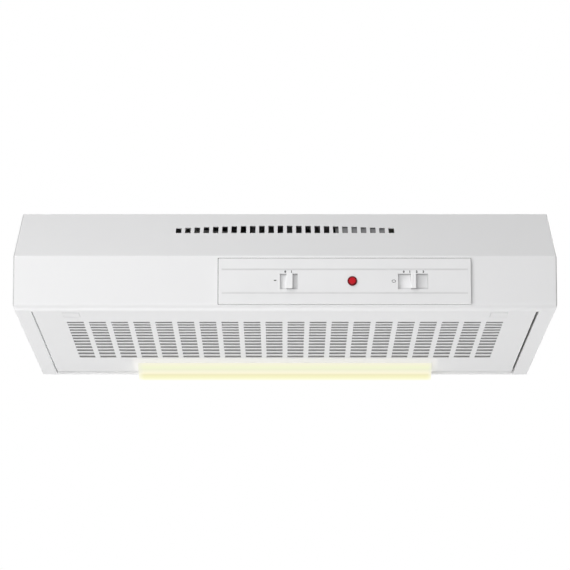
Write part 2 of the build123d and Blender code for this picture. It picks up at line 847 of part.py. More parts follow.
# Control fascia: white moulding on the front band, with two slider recesses
fascia_front = front_y - fascia_thick
recess_z = (recess_bottom + recess_top) / 2
recess_height = recess_top - recess_bottom
recess_back = fascia_front + recess_depth
shield_height = recess_height + 2 * shield_margin
sliders = (
    ("light", light_recess_left, light_recess_right, light_knob_x, light_knob_width, light_travel),
    ("fan", fan_recess_left, fan_recess_right, fan_knob_x, fan_knob_width, fan_travel),
)
with BuildPart() as control_fascia:
    with BuildSketch(facing_front(front_y - shadow_gap)):
        with Locations((fascia_x, fascia_z)):
            RectangleRounded(fascia_width, fascia_height, fascia_edge)
    extrude(amount=fascia_thick - shadow_gap)
    fillet(control_fascia.edges().group_by(Axis.Y)[0], fascia_edge * 0.9)
    with BuildSketch(facing_front(front_y)):
        with Locations((fascia_x, fascia_z)):
            Rectangle(fascia_width - 2 * shadow_inset, fascia_height - 2 * shadow_inset)
    extrude(amount=shadow_gap)
    with BuildSketch(facing_front(front_y)):
        with Locations((fascia_x, fascia_z)):
            skirt_width = cutout_width - 2 * skirt_gap
            skirt_height = cutout_height - 2 * skirt_gap
            Rectangle(skirt_width, skirt_height)
            Rectangle(skirt_width - 2 * skirt_wall, skirt_height - 2 * skirt_wall, mode=Mode.SUBTRACT)
    extrude(amount=-skirt_depth)
    for name, left, right, knob_x, knob_width, travel in sliders:
        with BuildSketch(facing_front(front_y)):
            with Locations(((left + right) / 2, recess_z)):
                Rectangle(right - left + 2 * recess_wall, recess_height + 2 * recess_wall)
        extrude(amount=front_y - recess_back)
        with BuildSketch(facing_front(fascia_front)):
            with Locations(((left + right) / 2, recess_z)):
                Rectangle(right - left, recess_height)
        extrude(amount=-recess_depth, mode=Mode.SUBTRACT)
    with BuildSketch(facing_front(fascia_front)):
        with Locations((fascia_x, lower_groove_z), (fascia_x, upper_groove_z)):
            Rectangle(fascia_width - 2 * groove_inset, groove_width)
    extrude(amount=-groove_depth, mode=Mode.SUBTRACT)
    with BuildSketch(facing_front(front_y)):
        with Locations((pilot_x, pilot_z)):
            Circle(pilot_stem_radius + screw_gap)
    extrude(amount=fascia_thick, mode=Mode.SUBTRACT)
control_fascia.part.label = "control_fascia"
export_step(control_fascia.part, "parts/control_fascia.step")

# Sliders: a grip through the recess, a shield that closes the recess from behind, and a stem
knob_back = fascia_front - running_gap
shield_front = recess_back + running_gap
switch_front = shield_front + shield_thick + running_gap
for name, left, right, knob_x, knob_width, travel in sliders:
    shield_reach = (right - left) / 2 + travel + shield_margin
    with BuildPart() as slider:
        with BuildSketch(facing_front(knob_back)):
            with Locations((knob_x, recess_z)):
                Rectangle(knob_width, recess_height + 2 * knob_overlap)
        extrude(amount=knob_thick)
        fillet(slider.edges().group_by(Axis.Y)[0], knob_thick / 6)
        with BuildSketch(facing_front(knob_back - knob_thick)):
            with Locations((knob_x, recess_z)):
                Rectangle(knob_groove_width, 2 * recess_height)
        extrude(amount=-knob_groove_depth, mode=Mode.SUBTRACT)
        with BuildSketch(facing_front(knob_back)):
            with Locations((knob_x, recess_z)):
                Rectangle(knob_width, recess_height - 2 * running_gap)
        extrude(amount=knob_back - shield_front)
        with BuildSketch(facing_front(shield_front)):
            with Locations((knob_x, recess_z)):
                Rectangle(2 * shield_reach, shield_height)
        extrude(amount=-shield_thick)
        with BuildSketch(facing_front(shield_front)):
            with Locations((knob_x, recess_z)):
                Rectangle(stem_width, stem_height)
        extrude(amount=-stem_reach)
    slider.part.label = f"{name}_slider"
    export_step(slider.part, f"parts/{name}_slider.step")

# Switches: clipped behind the recesses, with a channel for the shield and blades at the rear
switch_height = shield_height + 2 * (running_gap + switch_lip)
for name, left, right, knob_x, knob_width, travel in sliders:
    with BuildPart() as switch:
        with BuildSketch(facing_front(recess_back)):
            with Locations((knob_x, recess_z)):
                Rectangle(2 * (travel + stem_width + switch_margin), switch_height)
        extrude(amount=-switch_depth)
        with BuildSketch(facing_front(recess_back)):
            with Locations((knob_x, recess_z)):
                Rectangle(4 * switch_depth, shield_height + 2 * running_gap)
        extrude(amount=recess_back - switch_front, mode=Mode.SUBTRACT)
        with BuildSketch(facing_front(recess_back)):
            with Locations((knob_x, recess_z)):
                Rectangle(2 * travel + stem_width + 2 * stem_gap, stem_height + 2 * stem_gap)
        extrude(amount=-(stem_reach + 2 * running_gap + stem_gap), mode=Mode.SUBTRACT)
        with BuildSketch(facing_front(recess_back + switch_depth)):
            with Locations((knob_x, recess_z)):
                with GridLocations(switch_margin, 0, 3, 1):
                    Rectangle(blade_width, blade_height)
        extrude(amount=-blade_length)
    switch.part.label = f"{name}_switch"
    export_step(switch.part, f"parts/{name}_switch.step")

# Pilot light: red lens in the fascia and the lamp behind it
lens_back = front_y + fascia_thick
with BuildPart() as pilot_lens:
    with BuildSketch(facing_front(fascia_front)):
        with Locations((pilot_x, pilot_z)):
            Circle(pilot_radius)
    extrude(amount=pilot_rim)
    with BuildSketch(facing_front(fascia_front - pilot_rim)):
        with Locations((pilot_x, pilot_z)):
            Circle(pilot_stem_radius)
    extrude(amount=pilot_dome)
    fillet(pilot_lens.edges().group_by(Axis.Y)[0], pilot_dome * 0.9)
    with BuildSketch(facing_front(lens_back)):
        with Locations((pilot_x, pilot_z)):
            Circle(pilot_stem_radius)
    extrude(amount=lens_back - fascia_front)
pilot_lens.part.label = "pilot_lens"
export_step(pilot_lens.part, "parts/pilot_lens.step")

with BuildPart() as pilot_lamp:
    with BuildSketch(facing_front(lens_back)):
        with Locations((pilot_x, pilot_z)):
            Circle(pilot_lamp_radius)
    extrude(amount=-pilot_lamp_length)
    with BuildSketch(facing_front(lens_back + pilot_lamp_length)):
        with Locations((pilot_x, pilot_z)):
            with GridLocations(pilot_lamp_radius, 0, 2, 1):
                Rectangle(blade_width, blade_height)
    extrude(amount=-blade_length / 2)
pilot_lamp.part.label = "pilot_lamp"
export_step(pilot_lamp.part, "parts/pilot_lamp.step")

# Control cover: box that keeps grease off the switches
with BuildPart() as control_cover:
    with BuildSketch(facing_front(front_y + sheet)):
        with Locations((fascia_x, fascia_z)):
            inner_width = cutout_width + 2 * cover_margin
            inner_height = cutout_height + 2 * cover_margin
            Rectangle(inner_width + 2 * cover_wall, inner_height + 2 * cover_wall)
    extrude(amount=-cover_depth)
    with BuildSketch(facing_front(front_y + sheet)):
        with Locations((fascia_x, fascia_z)):
            Rectangle(inner_width, inner_height)
    extrude(amount=cover_wall - cover_depth, mode=Mode.SUBTRACT)
control_cover.part.label = "control_cover"
export_step(control_cover.part, "parts/control_cover.step")

# Terminal box: grey box on four posts close behind the right-hand vent slots
box_plane = slope_plane.offset(-sheet - box_gap)
box_x = (box_left + box_right) / 2
box_s = (box_low + box_high) / 2
box_width = box_right - box_left
box_length = box_high - box_low
lid_boss_spacing = box_width - 2 * box_wall - 2 * lid_boss_radius + boss_bite
with BuildPart() as terminal_box:
    with BuildSketch(box_plane):
        with Locations((box_x, box_s)):
            RectangleRounded(box_width, box_length, box_wall)
    extrude(amount=-box_depth)
    with BuildSketch(box_plane.offset(-box_wall)):
        with Locations((box_x, box_s)):
            Rectangle(box_width - 2 * box_wall, box_length - 2 * box_wall)
    extrude(amount=-box_depth, mode=Mode.SUBTRACT)
    with BuildSketch(box_plane.offset(-box_wall)):
        with Locations((box_x, box_s)):
            with GridLocations(lid_boss_spacing, 0, 2, 1):
                Circle(lid_boss_radius)
    extrude(amount=box_wall - box_depth)
    with BuildSketch(box_plane.offset(-box_depth)):
        with Locations((box_x, box_s)):
            with GridLocations(lid_boss_spacing, 0, 2, 1):
                Circle(lid_screw_radius + screw_gap)
    extrude(amount=lid_screw_length, mode=Mode.SUBTRACT)
    with BuildSketch(box_plane):
        with Locations((box_x, box_s)):
            with GridLocations(box_width - 2 * post_inset, box_length - 2 * post_inset, 2, 2):
                Circle(post_radius)
    extrude(amount=box_gap)
terminal_box.part.label = "terminal_box"
export_step(terminal_box.part, "parts/terminal_box.step")

with BuildPart() as terminal_box_cover:
    with BuildSketch(box_plane.offset(-box_depth)):
        with Locations((box_x, box_s)):
            RectangleRounded(box_width, box_length, box_wall)
            with GridLocations(lid_boss_spacing, 0, 2, 1):
                Circle(lid_screw_radius + screw_gap, mode=Mode.SUBTRACT)
    extrude(amount=-box_lid)
terminal_box_cover.part.label = "terminal_box_cover"
export_step(terminal_box_cover.part, "parts/terminal_box_cover.step")

with BuildPart() as terminal_block:
    with BuildSketch(box_plane.offset(-box_wall)):
        with Locations((box_x, box_s)):
            Rectangle(block_length, block_width)
    extrude(amount=-block_height)
terminal_block.part.label = "terminal_block"
export_step(terminal_block.part, "parts/terminal_block.step")

with BuildPart() as terminal_box_screws:
    with BuildSketch(box_plane.offset(-box_depth - box_lid)):
        with Locations((box_x, box_s)):
            with GridLocations(lid_boss_spacing, 0, 2, 1):
                Circle(lid_screw_radius)
    extrude(amount=lid_screw_length)
    with BuildSketch(box_plane.offset(-box_depth - box_lid)):
        with Locations((box_x, box_s)):
            with GridLocations(lid_boss_spacing, 0, 2, 1):
                Circle(lid_screw_head)
    extrude(amount=-screw_head)
terminal_box_screws.part.label = "terminal_box_screws"
export_step(terminal_box_screws.part, "parts/terminal_box_screws.step")

# Fan cover plate: closes the scroll and carries the motor under the hood's top
with BuildPart() as fan_cover:
    with BuildSketch(Plane.XY.offset(cover_bottom)):
        add(scroll_outline(scroll_wall + cover_plate_margin))
        with Locations((0, duct_y)):
            Circle(collar_bore, mode=Mode.SUBTRACT)
            with PolarLocations(collar_screw_radius, 4, start_angle=45):
                Circle(screw_radius + screw_gap, mode=Mode.SUBTRACT)
        with Locations(*fan_screw_points):
            Circle(screw_radius + screw_gap, mode=Mode.SUBTRACT)
        with Locations((fan_x, fan_y)):
            with PolarLocations(motor_screw_radius, 3, start_angle=90):
                Circle(screw_radius + screw_gap, mode=Mode.SUBTRACT)
    extrude(amount=cover_plate)
fan_cover.part.label = "fan_cover"
export_step(fan_cover.part, "parts/fan_cover.step")

# Fan scroll: moulded volute with the inlet below and the outlet chamber under the duct
shutter_low = window_bottom - shutter_margin
shutter_high = window_top + shutter_margin
chamber_front = outlet_front - scroll_wall
rail_depth = shutter_thick + 2 * running_gap
lead_z = impeller_top + lead_radius + 4 * lead_gap
with BuildPart() as fan_scroll:
    with BuildSketch(Plane.XY.offset(scroll_bottom)):
        add(scroll_outline(scroll_wall))
    extrude(amount=cover_bottom - scroll_bottom)
    with BuildSketch(Plane.XY.offset(cover_bottom - boss_height)):
        with Locations(*fan_screw_points):
            Circle(boss_radius)
    extrude(amount=boss_height)
    with BuildSketch(Plane.XY.offset(scroll_bottom + scroll_floor)):
        add(scroll_outline(0))
    extrude(amount=cover_bottom - scroll_bottom, mode=Mode.SUBTRACT)
    with BuildSketch(Plane.XY.offset(cover_bottom - boss_height)):
        with Locations(*fan_screw_points):
            Circle(screw_radius + screw_gap)
    extrude(amount=boss_height, mode=Mode.SUBTRACT)
    with BuildSketch(Plane.XY.offset(scroll_bottom)):
        with Locations((fan_x, fan_y)):
            Circle(inlet_radius)
    extrude(amount=scroll_floor, mode=Mode.SUBTRACT)
    for rail_z, inward in ((shutter_low - running_gap, 1), (shutter_high + running_gap, -1)):
        with BuildSketch(Plane.YZ.offset(-outlet_right)):
            with Locations((chamber_front, rail_z)):
                rail_align = (Align.MAX, Align.MAX if inward > 0 else Align.MIN)
                lip_align = (Align.MAX, Align.MIN if inward > 0 else Align.MAX)
                Rectangle(rail_depth + rail_thick, rail_thick, align=rail_align)
            with Locations((chamber_front - rail_depth, rail_z)):
                Rectangle(rail_thick, rail_lip, align=lip_align)
        extrude(amount=2 * outlet_right)
    with BuildSketch(facing_front(outlet_front)):
        with Locations((0, (window_bottom + window_top) / 2)):
            with GridLocations(window_pitch, 0, window_count, 1):
                Rectangle(window_width, window_top - window_bottom)
    extrude(amount=scroll_wall, mode=Mode.SUBTRACT)
    with BuildSketch(facing_front(fan_y)):
        with Locations((fan_x, lead_z)):
            Circle(lead_radius + screw_gap)
    extrude(amount=2 * scroll_first_radius, mode=Mode.SUBTRACT)
fan_scroll.part.label = "fan_scroll"
export_step(fan_scroll.part, "parts/fan_scroll.step")

# Recirculation shutter: slotted plate that slides across the chamber's windows
with BuildPart() as recirculation_shutter:
    with BuildSketch(facing_front(chamber_front - running_gap)):
        with Locations((-shutter_travel / 2, (shutter_low + shutter_high) / 2)):
            Rectangle(2 * outlet_right - shutter_travel, shutter_high - shutter_low)
        with Locations((-shutter_travel, (window_bottom + window_top) / 2)):
            with GridLocations(window_pitch, 0, window_count, 1):
                Rectangle(window_width, window_top - window_bottom, mode=Mode.SUBTRACT)
    extrude(amount=shutter_thick)
    with BuildSketch(facing_front(chamber_front - running_gap - shutter_thick)):
        with Locations((0, window_bottom + knob_radius)):
            Circle(knob_radius)
    extrude(amount=knob_length)
    fillet(recirculation_shutter.edges().group_by(Axis.Y)[0], knob_radius / 4)
recirculation_shutter.part.label = "recirculation_shutter"
export_step(recirculation_shutter.part, "parts/recirculation_shutter.step")

# Inlet guard: rings and spokes below the fan inlet
with BuildPart() as inlet_guard:
    with BuildSketch(Plane.XY.offset(scroll_bottom)):
        with Locations((fan_x, fan_y)):
            Circle(guard_radius)
            Circle(guard_radius - guard_rim, mode=Mode.SUBTRACT)
            for ring in range(1, guard_rings + 1):
                with BuildSketch(mode=Mode.PRIVATE) as guard_ring:
                    Circle(ring * guard_ring_pitch + guard_ring_width / 2)
                    Circle(ring * guard_ring_pitch - guard_ring_width / 2, mode=Mode.SUBTRACT)
                add(guard_ring.sketch)
            for spoke in range(guard_spokes):
                Rectangle(2 * guard_radius - guard_rim, guard_ring_width, rotation=spoke * 180 / guard_spokes)
    extrude(amount=-guard_height)
inlet_guard.part.label = "inlet_guard"
export_step(inlet_guard.part, "parts/inlet_guard.step")

# Motor: can with a mounting flange, and a bore for its shaft
with BuildPart() as motor:
    with BuildSketch(Plane.XY.offset(motor_bottom)):
        with Locations((fan_x, fan_y)):
            Circle(motor_radius)
    extrude(amount=cover_bottom - motor_bottom)
    fillet(motor.edges().group_by(Axis.Z)[0], motor_flange)
    with BuildSketch(Plane.XY.offset(cover_bottom - motor_flange)):
        with Locations((fan_x, fan_y)):
            Circle(motor_flange_radius)
            with PolarLocations(motor_screw_radius, 3, start_angle=90):
                Circle(screw_radius + screw_gap, mode=Mode.SUBTRACT)
    extrude(amount=motor_flange)
    with BuildSketch(Plane.XY.offset(motor_bottom)):
        with Locations((fan_x, fan_y)):
            Circle(shaft_radius + shaft_clearance)
    extrude(amount=shaft_inside + running_gap, mode=Mode.SUBTRACT)
motor.part.label = "motor"
export_step(motor.part, "parts/motor.step")

# Motor shaft and the nut that holds the impeller on it
with BuildPart() as motor_shaft:
    with BuildSketch(Plane.XY.offset(shaft_bottom)):
        with Locations((fan_x, fan_y)):
            Circle(shaft_radius)
    extrude(amount=motor_bottom + shaft_inside - shaft_bottom)
motor_shaft.part.label = "motor_shaft"
export_step(motor_shaft.part, "parts/motor_shaft.step")

with BuildPart() as impeller_nut:
    with BuildSketch(Plane.XY.offset(hub_bottom)):
        with Locations((fan_x, fan_y)):
            RegularPolygon(nut_radius, 6)
            Circle(shaft_radius, mode=Mode.SUBTRACT)
    extrude(amount=-nut_height)
impeller_nut.part.label = "impeller_nut"
export_step(impeller_nut.part, "parts/impeller_nut.step")

# Impeller: ring of blades hung from a cup that clears the motor
with BuildPart() as impeller:
    with BuildSketch(Plane.XY.offset(impeller_bottom)):
        with Locations((fan_x, fan_y)):
            with PolarLocations((impeller_radius + impeller_inner) / 2, blade_count):
                Rectangle(2 * (impeller_radius - impeller_inner), blade_thick, rotation=blade_angle)
            Circle(impeller_radius, mode=Mode.INTERSECT)
            Circle(impeller_inner, mode=Mode.SUBTRACT)
    extrude(amount=impeller_top - impeller_bottom)
    with BuildSketch(Plane.XY.offset(impeller_bottom)):
        with Locations((fan_x, fan_y)):
            Circle(impeller_radius)
            Circle(impeller_inner, mode=Mode.SUBTRACT)
    extrude(amount=impeller_ring)
    with BuildSketch(Plane.XY.offset(impeller_top)):
        with Locations((fan_x, fan_y)):
            Circle(impeller_radius)
            Circle(cup_radius - cup_wall, mode=Mode.SUBTRACT)
    extrude(amount=-cup_wall)
    with BuildSketch(Plane.XY.offset(impeller_top)):
        with Locations((fan_x, fan_y)):
            Circle(cup_radius)
            Circle(cup_radius - cup_wall, mode=Mode.SUBTRACT)
    extrude(amount=cup_floor - impeller_top)
    with BuildSketch(Plane.XY.offset(cup_floor)):
        with Locations((fan_x, fan_y)):
            Circle(cup_radius)
    extrude(amount=cup_wall)
    with BuildSketch(Plane.XY.offset(hub_bottom)):
        with Locations((fan_x, fan_y)):
            Circle(hub_radius)
    extrude(amount=cup_floor + cup_wall - hub_bottom)
    with BuildSketch(Plane.XY.offset(hub_bottom)):
        with Locations((fan_x, fan_y)):
            Circle(shaft_radius)
    extrude(amount=impeller_top - hub_bottom, mode=Mode.SUBTRACT)
impeller.part.label = "impeller"
export_step(impeller.part, "parts/impeller.step")

# Duct collar: flanged spigot on the top, with a ledge that stops the flaps
ledge_top = hood_height + ledge_z
pin_z = ledge_top + running_gap + flap_barrel_radius
with BuildPart() as duct_collar:
    with BuildSketch(Plane.XY.offset(hood_height)):
        with Locations((0, duct_y)):
            Circle(collar_radius)
    extrude(amount=collar_height)
    with BuildSketch(Plane.XY.offset(hood_height)):
        with Locations((0, duct_y)):
            Circle(collar_flange_radius)
    extrude(amount=collar_flange)
    with BuildSketch(Plane.XY.offset(hood_height)):
        with Locations((0, duct_y)):
            Circle(collar_bore)
    extrude(amount=collar_height, mode=Mode.SUBTRACT)
    with BuildSketch(Plane.XY.offset(ledge_top)):
        with Locations((0, duct_y)):
            Circle(collar_radius)
            Circle(collar_bore - ledge_width, mode=Mode.SUBTRACT)
    extrude(amount=-ledge_thick)
    with BuildSketch(Plane.XY.offset(hood_height)):
        with Locations((0, duct_y)):
            with PolarLocations(collar_screw_radius, 4, start_angle=45):
                Circle(screw_radius + screw_gap)
    extrude(amount=collar_flange, mode=Mode.SUBTRACT)
    with BuildSketch(Plane.YZ):
        with Locations((duct_y, pin_z)):
            Circle(flap_pin_radius)
    extrude(amount=collar_flange_radius, both=True, mode=Mode.SUBTRACT)
duct_collar.part.label = "duct_collar"
export_step(duct_collar.part, "parts/duct_collar.step")

with BuildPart() as flap_pin:
    with BuildSketch(Plane.YZ):
        with Locations((duct_y, pin_z)):
            Circle(flap_pin_radius)
    extrude(amount=collar_radius - running_gap, both=True)
flap_pin.part.label = "flap_pin"
export_step(flap_pin.part, "parts/flap_pin.step")

# Non-return flaps: half discs with barrels that share the pin
flap_bottom = ledge_top + running_gap
barrel_pitch = flap_barrel + flap_barrel_gap
for first_barrel, (flap_name, side) in enumerate((("front_flap", -1), ("rear_flap", 1))):
    own_barrels = range(first_barrel, flap_barrels, 2)
    with BuildPart() as flap:
        with BuildSketch(Plane.XY.offset(flap_bottom)):
            with Locations((0, duct_y)):
                Circle(collar_bore - flap_gap)
            with Locations((0, duct_y + side * (flap_notch - collar_radius))):
                Rectangle(2 * collar_radius, 2 * collar_radius, mode=Mode.SUBTRACT)
            for barrel in own_barrels:
                barrel_x = (barrel - (flap_barrels - 1) / 2) * barrel_pitch
                with Locations((barrel_x, duct_y + side * flap_notch / 2)):
                    Rectangle(flap_barrel, flap_notch)
        extrude(amount=flap_thick)
        for barrel in own_barrels:
            barrel_x = (barrel - (flap_barrels - 1) / 2) * barrel_pitch
            with BuildSketch(Plane.YZ.offset(barrel_x)):
                with Locations((duct_y, pin_z)):
                    Circle(flap_barrel_radius)
            extrude(amount=flap_barrel / 2, both=True)
        with BuildSketch(Plane.YZ):
            with Locations((duct_y, pin_z)):
                Circle(flap_pin_radius + pin_clearance)
        extrude(amount=collar_radius, both=True, mode=Mode.SUBTRACT)
    flap.part.label = flap_name
    export_step(flap.part, f"parts/{flap_name}.step")

# Cable gland in the top, and the nut that clamps it from inside
with BuildPart() as cable_gland:
    with BuildSketch(Plane.XY.offset(top_inside - gland_tail)):
        with Locations((gland_x, gland_y)):
            Circle(gland_radius - screw_gap)
    extrude(amount=gland_tail + sheet)
    with BuildSketch(Plane.XY.offset(hood_height)):
        with Locations((gland_x, gland_y)):
            Circle(gland_head_radius)
    extrude(amount=gland_head)
    fillet(cable_gland.edges().group_by(Axis.Z)[-1], gland_head / 4)
    with BuildSketch(Plane.XY.offset(top_inside - gland_tail)):
        with Locations((gland_x, gland_y)):
            Circle(gland_bore)
    extrude(amount=gland_tail + sheet + gland_head, mode=Mode.SUBTRACT)
cable_gland.part.label = "cable_gland"
export_step(cable_gland.part, "parts/cable_gland.step")

with BuildPart() as gland_lock_nut:
    with BuildSketch(Plane.XY.offset(top_inside)):
        with Locations((gland_x, gland_y)):
            RegularPolygon(gland_head_radius, 6)
            Circle(gland_radius - screw_gap, mode=Mode.SUBTRACT)
    extrude(amount=-gland_nut)
gland_lock_nut.part.label = "gland_lock_nut"
export_step(gland_lock_nut.part, "parts/gland_lock_nut.step")

# Inside leads: from the terminal box to the switches, the motor and the ballast
box_mid = -box_depth / 2
lead_from_low = box_plane.from_local_coords((box_x, box_low, box_mid))
lead_from_left = box_plane.from_local_coords((box_left, box_s, box_mid))
lead_from_right = box_plane.from_local_coords((box_right, box_s, box_mid))
cover_back = front_y + sheet + cover_depth
high_run_z = top_inside - lead_gap - lead_radius
side_run_x = gland_x + gland_head_radius + 4 * lead_radius
ballast_end = ballast_x + ballast_length / 2
ballast_mid_z = tray_top + ballast_height / 2
slope_down = slope_plane.y_dir * -switch_lead_drop
lead_routes = (
    (
        "switch_lead",
        (
            lead_from_low,
            lead_from_low + slope_down,
            Vector(box_x, cover_back + switch_lead_end, recess_z),
            Vector(box_x, cover_back, recess_z),
        ),
        short_bend,
    ),
    (
        "motor_lead",
        (
            lead_from_left,
            lead_from_left - Vector(motor_lead_start, 0, 0),
            Vector(fan_x, outlet_front - motor_lead_end, lead_z),
            Vector(fan_x, fan_y - motor_radius, lead_z),
        ),
        wide_bend,
    ),
    (
        "lamp_lead",
        (
            lead_from_right,
            lead_from_right + Vector(lamp_lead_start, 0, 0),
            Vector(side_run_x, front_y + slope_depth + lamp_run_inset, high_run_z),
            Vector(side_run_x, gland_y - lamp_lead_end, high_run_z),
            Vector(side_run_x, tube_y, (high_run_z + ballast_mid_z) / 2),
            Vector((side_run_x + ballast_end) / 2, tube_y, ballast_mid_z),
            Vector(ballast_end, tube_y, ballast_mid_z),
        ),
        wide_bend,
    ),
)
for lead_name, route, lead_bend in lead_routes:
    with BuildPart() as lead:
        with BuildLine() as lead_path:
            FilletPolyline(*route, radius=lead_bend)
        with BuildSketch(Plane(origin=lead_path.line @ 0, z_dir=lead_path.line % 0)):
            Circle(lead_radius)
        sweep()
    lead.part.label = lead_name
    export_step(lead.part, f"parts/{lead_name}.step")

# Cable clips: hold the lamp lead up under the top
run_start = front_y + slope_depth + clip_inset_front
run_end = gland_y - clip_inset_rear
with BuildPart() as cable_clips:
    for index in range(clip_count):
        clip_y = run_start + index * (run_end - run_start) / (clip_count - 1)
        with BuildSketch(facing_front(clip_y)):
            with Locations((side_run_x, top_inside)):
                clip_outer = 2 * (lead_radius + clip_thick)
                clip_drop = lead_gap + 2 * lead_radius + clip_thick
                Rectangle(clip_outer, clip_drop, align=(Align.CENTER, Align.MAX))
            with Locations((side_run_x, high_run_z)):
                Circle(lead_radius + screw_gap, mode=Mode.SUBTRACT)
        extrude(amount=clip_width)
cable_clips.part.label = "cable_clips"
export_step(cable_clips.part, "parts/cable_clips.step")

# Screws of the fan scroll, the motor and the duct collar
with BuildPart() as fan_screws:
    with BuildSketch(Plane.XY.offset(cover_bottom - boss_height)):
        with Locations(*fan_screw_points):
            Circle(screw_radius)
    extrude(amount=hood_height - cover_bottom + boss_height)
    with BuildSketch(Plane.XY.offset(cover_bottom - boss_height)):
        with Locations(*fan_screw_points):
            Circle(screw_head_radius)
    extrude(amount=-screw_head)
fan_screws.part.label = "fan_screws"
export_step(fan_screws.part, "parts/fan_screws.step")

with BuildPart() as motor_screws:
    with BuildSketch(Plane.XY.offset(cover_bottom - motor_flange)):
        with Locations((fan_x, fan_y)):
            with PolarLocations(motor_screw_radius, 3, start_angle=90):
                Circle(screw_radius)
    extrude(amount=motor_flange + cover_plate)
    with BuildSketch(Plane.XY.offset(cover_bottom - motor_flange)):
        with Locations((fan_x, fan_y)):
            with PolarLocations(motor_screw_radius, 3, start_angle=90):
                Circle(screw_head_radius)
    extrude(amount=-screw_head)
motor_screws.part.label = "motor_screws"
export_step(motor_screws.part, "parts/motor_screws.step")

with BuildPart() as collar_screws:
    with BuildSketch(Plane.XY.offset(cover_bottom)):
        with Locations((0, duct_y)):
            with PolarLocations(collar_screw_radius, 4, start_angle=45):
                Circle(screw_radius)
    extrude(amount=cover_plate + sheet + collar_flange)
    with BuildSketch(Plane.XY.offset(hood_height + collar_flange)):
        with Locations((0, duct_y)):
            with PolarLocations(collar_screw_radius, 4, start_angle=45):
                Circle(screw_head_radius)
    extrude(amount=screw_head)
collar_screws.part.label = "collar_screws"
export_step(collar_screws.part, "parts/collar_screws.step")
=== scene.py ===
from math import cos, pi, radians, sin

import bmesh
import bpy
from mathutils import Matrix, Vector


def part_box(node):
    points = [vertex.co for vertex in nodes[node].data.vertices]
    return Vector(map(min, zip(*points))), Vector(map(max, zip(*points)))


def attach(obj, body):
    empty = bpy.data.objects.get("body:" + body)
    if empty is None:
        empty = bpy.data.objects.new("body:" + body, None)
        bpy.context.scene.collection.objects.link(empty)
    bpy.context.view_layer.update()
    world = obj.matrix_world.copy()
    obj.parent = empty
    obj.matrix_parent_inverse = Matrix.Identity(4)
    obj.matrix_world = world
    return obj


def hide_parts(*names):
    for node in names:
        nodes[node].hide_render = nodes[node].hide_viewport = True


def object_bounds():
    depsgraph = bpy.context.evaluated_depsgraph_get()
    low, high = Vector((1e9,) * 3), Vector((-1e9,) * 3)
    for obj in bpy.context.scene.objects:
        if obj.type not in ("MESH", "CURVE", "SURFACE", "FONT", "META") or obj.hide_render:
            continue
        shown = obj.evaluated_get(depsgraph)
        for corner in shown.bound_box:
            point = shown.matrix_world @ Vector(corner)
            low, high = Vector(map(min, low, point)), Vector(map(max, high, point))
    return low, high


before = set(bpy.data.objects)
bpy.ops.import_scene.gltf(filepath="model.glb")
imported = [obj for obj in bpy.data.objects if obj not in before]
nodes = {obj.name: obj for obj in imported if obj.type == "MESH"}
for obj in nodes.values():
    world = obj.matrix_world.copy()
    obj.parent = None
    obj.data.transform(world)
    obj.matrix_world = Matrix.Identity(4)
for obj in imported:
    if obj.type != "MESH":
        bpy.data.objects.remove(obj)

cad_low, cad_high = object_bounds()
scene = bpy.context.scene
scene.view_settings.view_transform = "Standard"

# Camera. It stands about four metres in front of the hood and a little below it, and looks
# slightly up with a long lens, so the underside shows as a narrow strip.
tilt_up = 9.919
viewer = bpy.data.objects.new("camera", bpy.data.cameras.new("camera"))
viewer.data.lens = 225.6
viewer.data.sensor_width = 36
viewer.data.clip_end = 50
viewer.location = (0, -4.35935, -0.65024)
viewer.rotation_euler = (radians(90 + tilt_up), 0, 0)
scene.collection.objects.link(viewer)
scene.camera = viewer


# Studio. A white surround and a white floor far below, as the camera and the gloss see them,
# soft lamps at the left, at the right, in front, above and behind, and one below that lights
# the underside.
class Shade:
    """A socket of a node tree. Python's operators on it add the tree's Math nodes."""

    def __init__(self, tree, socket):
        self.tree = tree
        self.socket = socket

    def add(self, kind, settings=None, sockets=None, out=0):
        """Adds a node: its settings first, then the values or links of its sockets."""
        node = self.tree.nodes.new(kind)
        for name, value in (settings or {}).items():
            if name != "stops":
                setattr(node, name, value)
                continue
            stops = node.color_ramp.elements
            stops.remove(stops[1])
            stops[0].position, stops[0].color = value[0]
            for position, colour in value[1:]:
                stops.new(position).color = colour
        for name, value in (sockets or {}).items():
            if isinstance(value, Shade):
                self.tree.links.new(value.socket, node.inputs[name])
            else:
                node.inputs[name].default_value = value
        return Shade(self.tree, node.outputs[out])

    def math(self, operation, first, second=0.0):
        return self.add("ShaderNodeMath", {"operation": operation}, {0: first, 1: second})

    def most(self, other):
        return self.math("MAXIMUM", self, other)

    def __abs__(self):
        return self.math("ABSOLUTE", self)

    def __add__(self, other):
        return self.math("ADD", self, other)

    def __sub__(self, other):
        return self.math("SUBTRACT", self, other)

    def __mul__(self, other):
        return self.math("MULTIPLY", self, other)

    def __gt__(self, other):
        return self.math("GREATER_THAN", self, other)

    def __radd__(self, other):
        return self.math("ADD", other, self)

    def __rsub__(self, other):
        return self.math("SUBTRACT", other, self)

    def __rmul__(self, other):
        return self.math("MULTIPLY", other, self)


def look_rays(tree):
    """1 for rays from the camera, from gloss and through glass, 0 for those that light."""
    rays = tree.nodes.new("ShaderNodeLightPath").outputs
    seen, glossy, through = (
        Shade(tree, rays[f"Is {kind} Ray"]) for kind in ("Camera", "Glossy", "Transmission")
    )
    return seen.most(glossy.most(through))


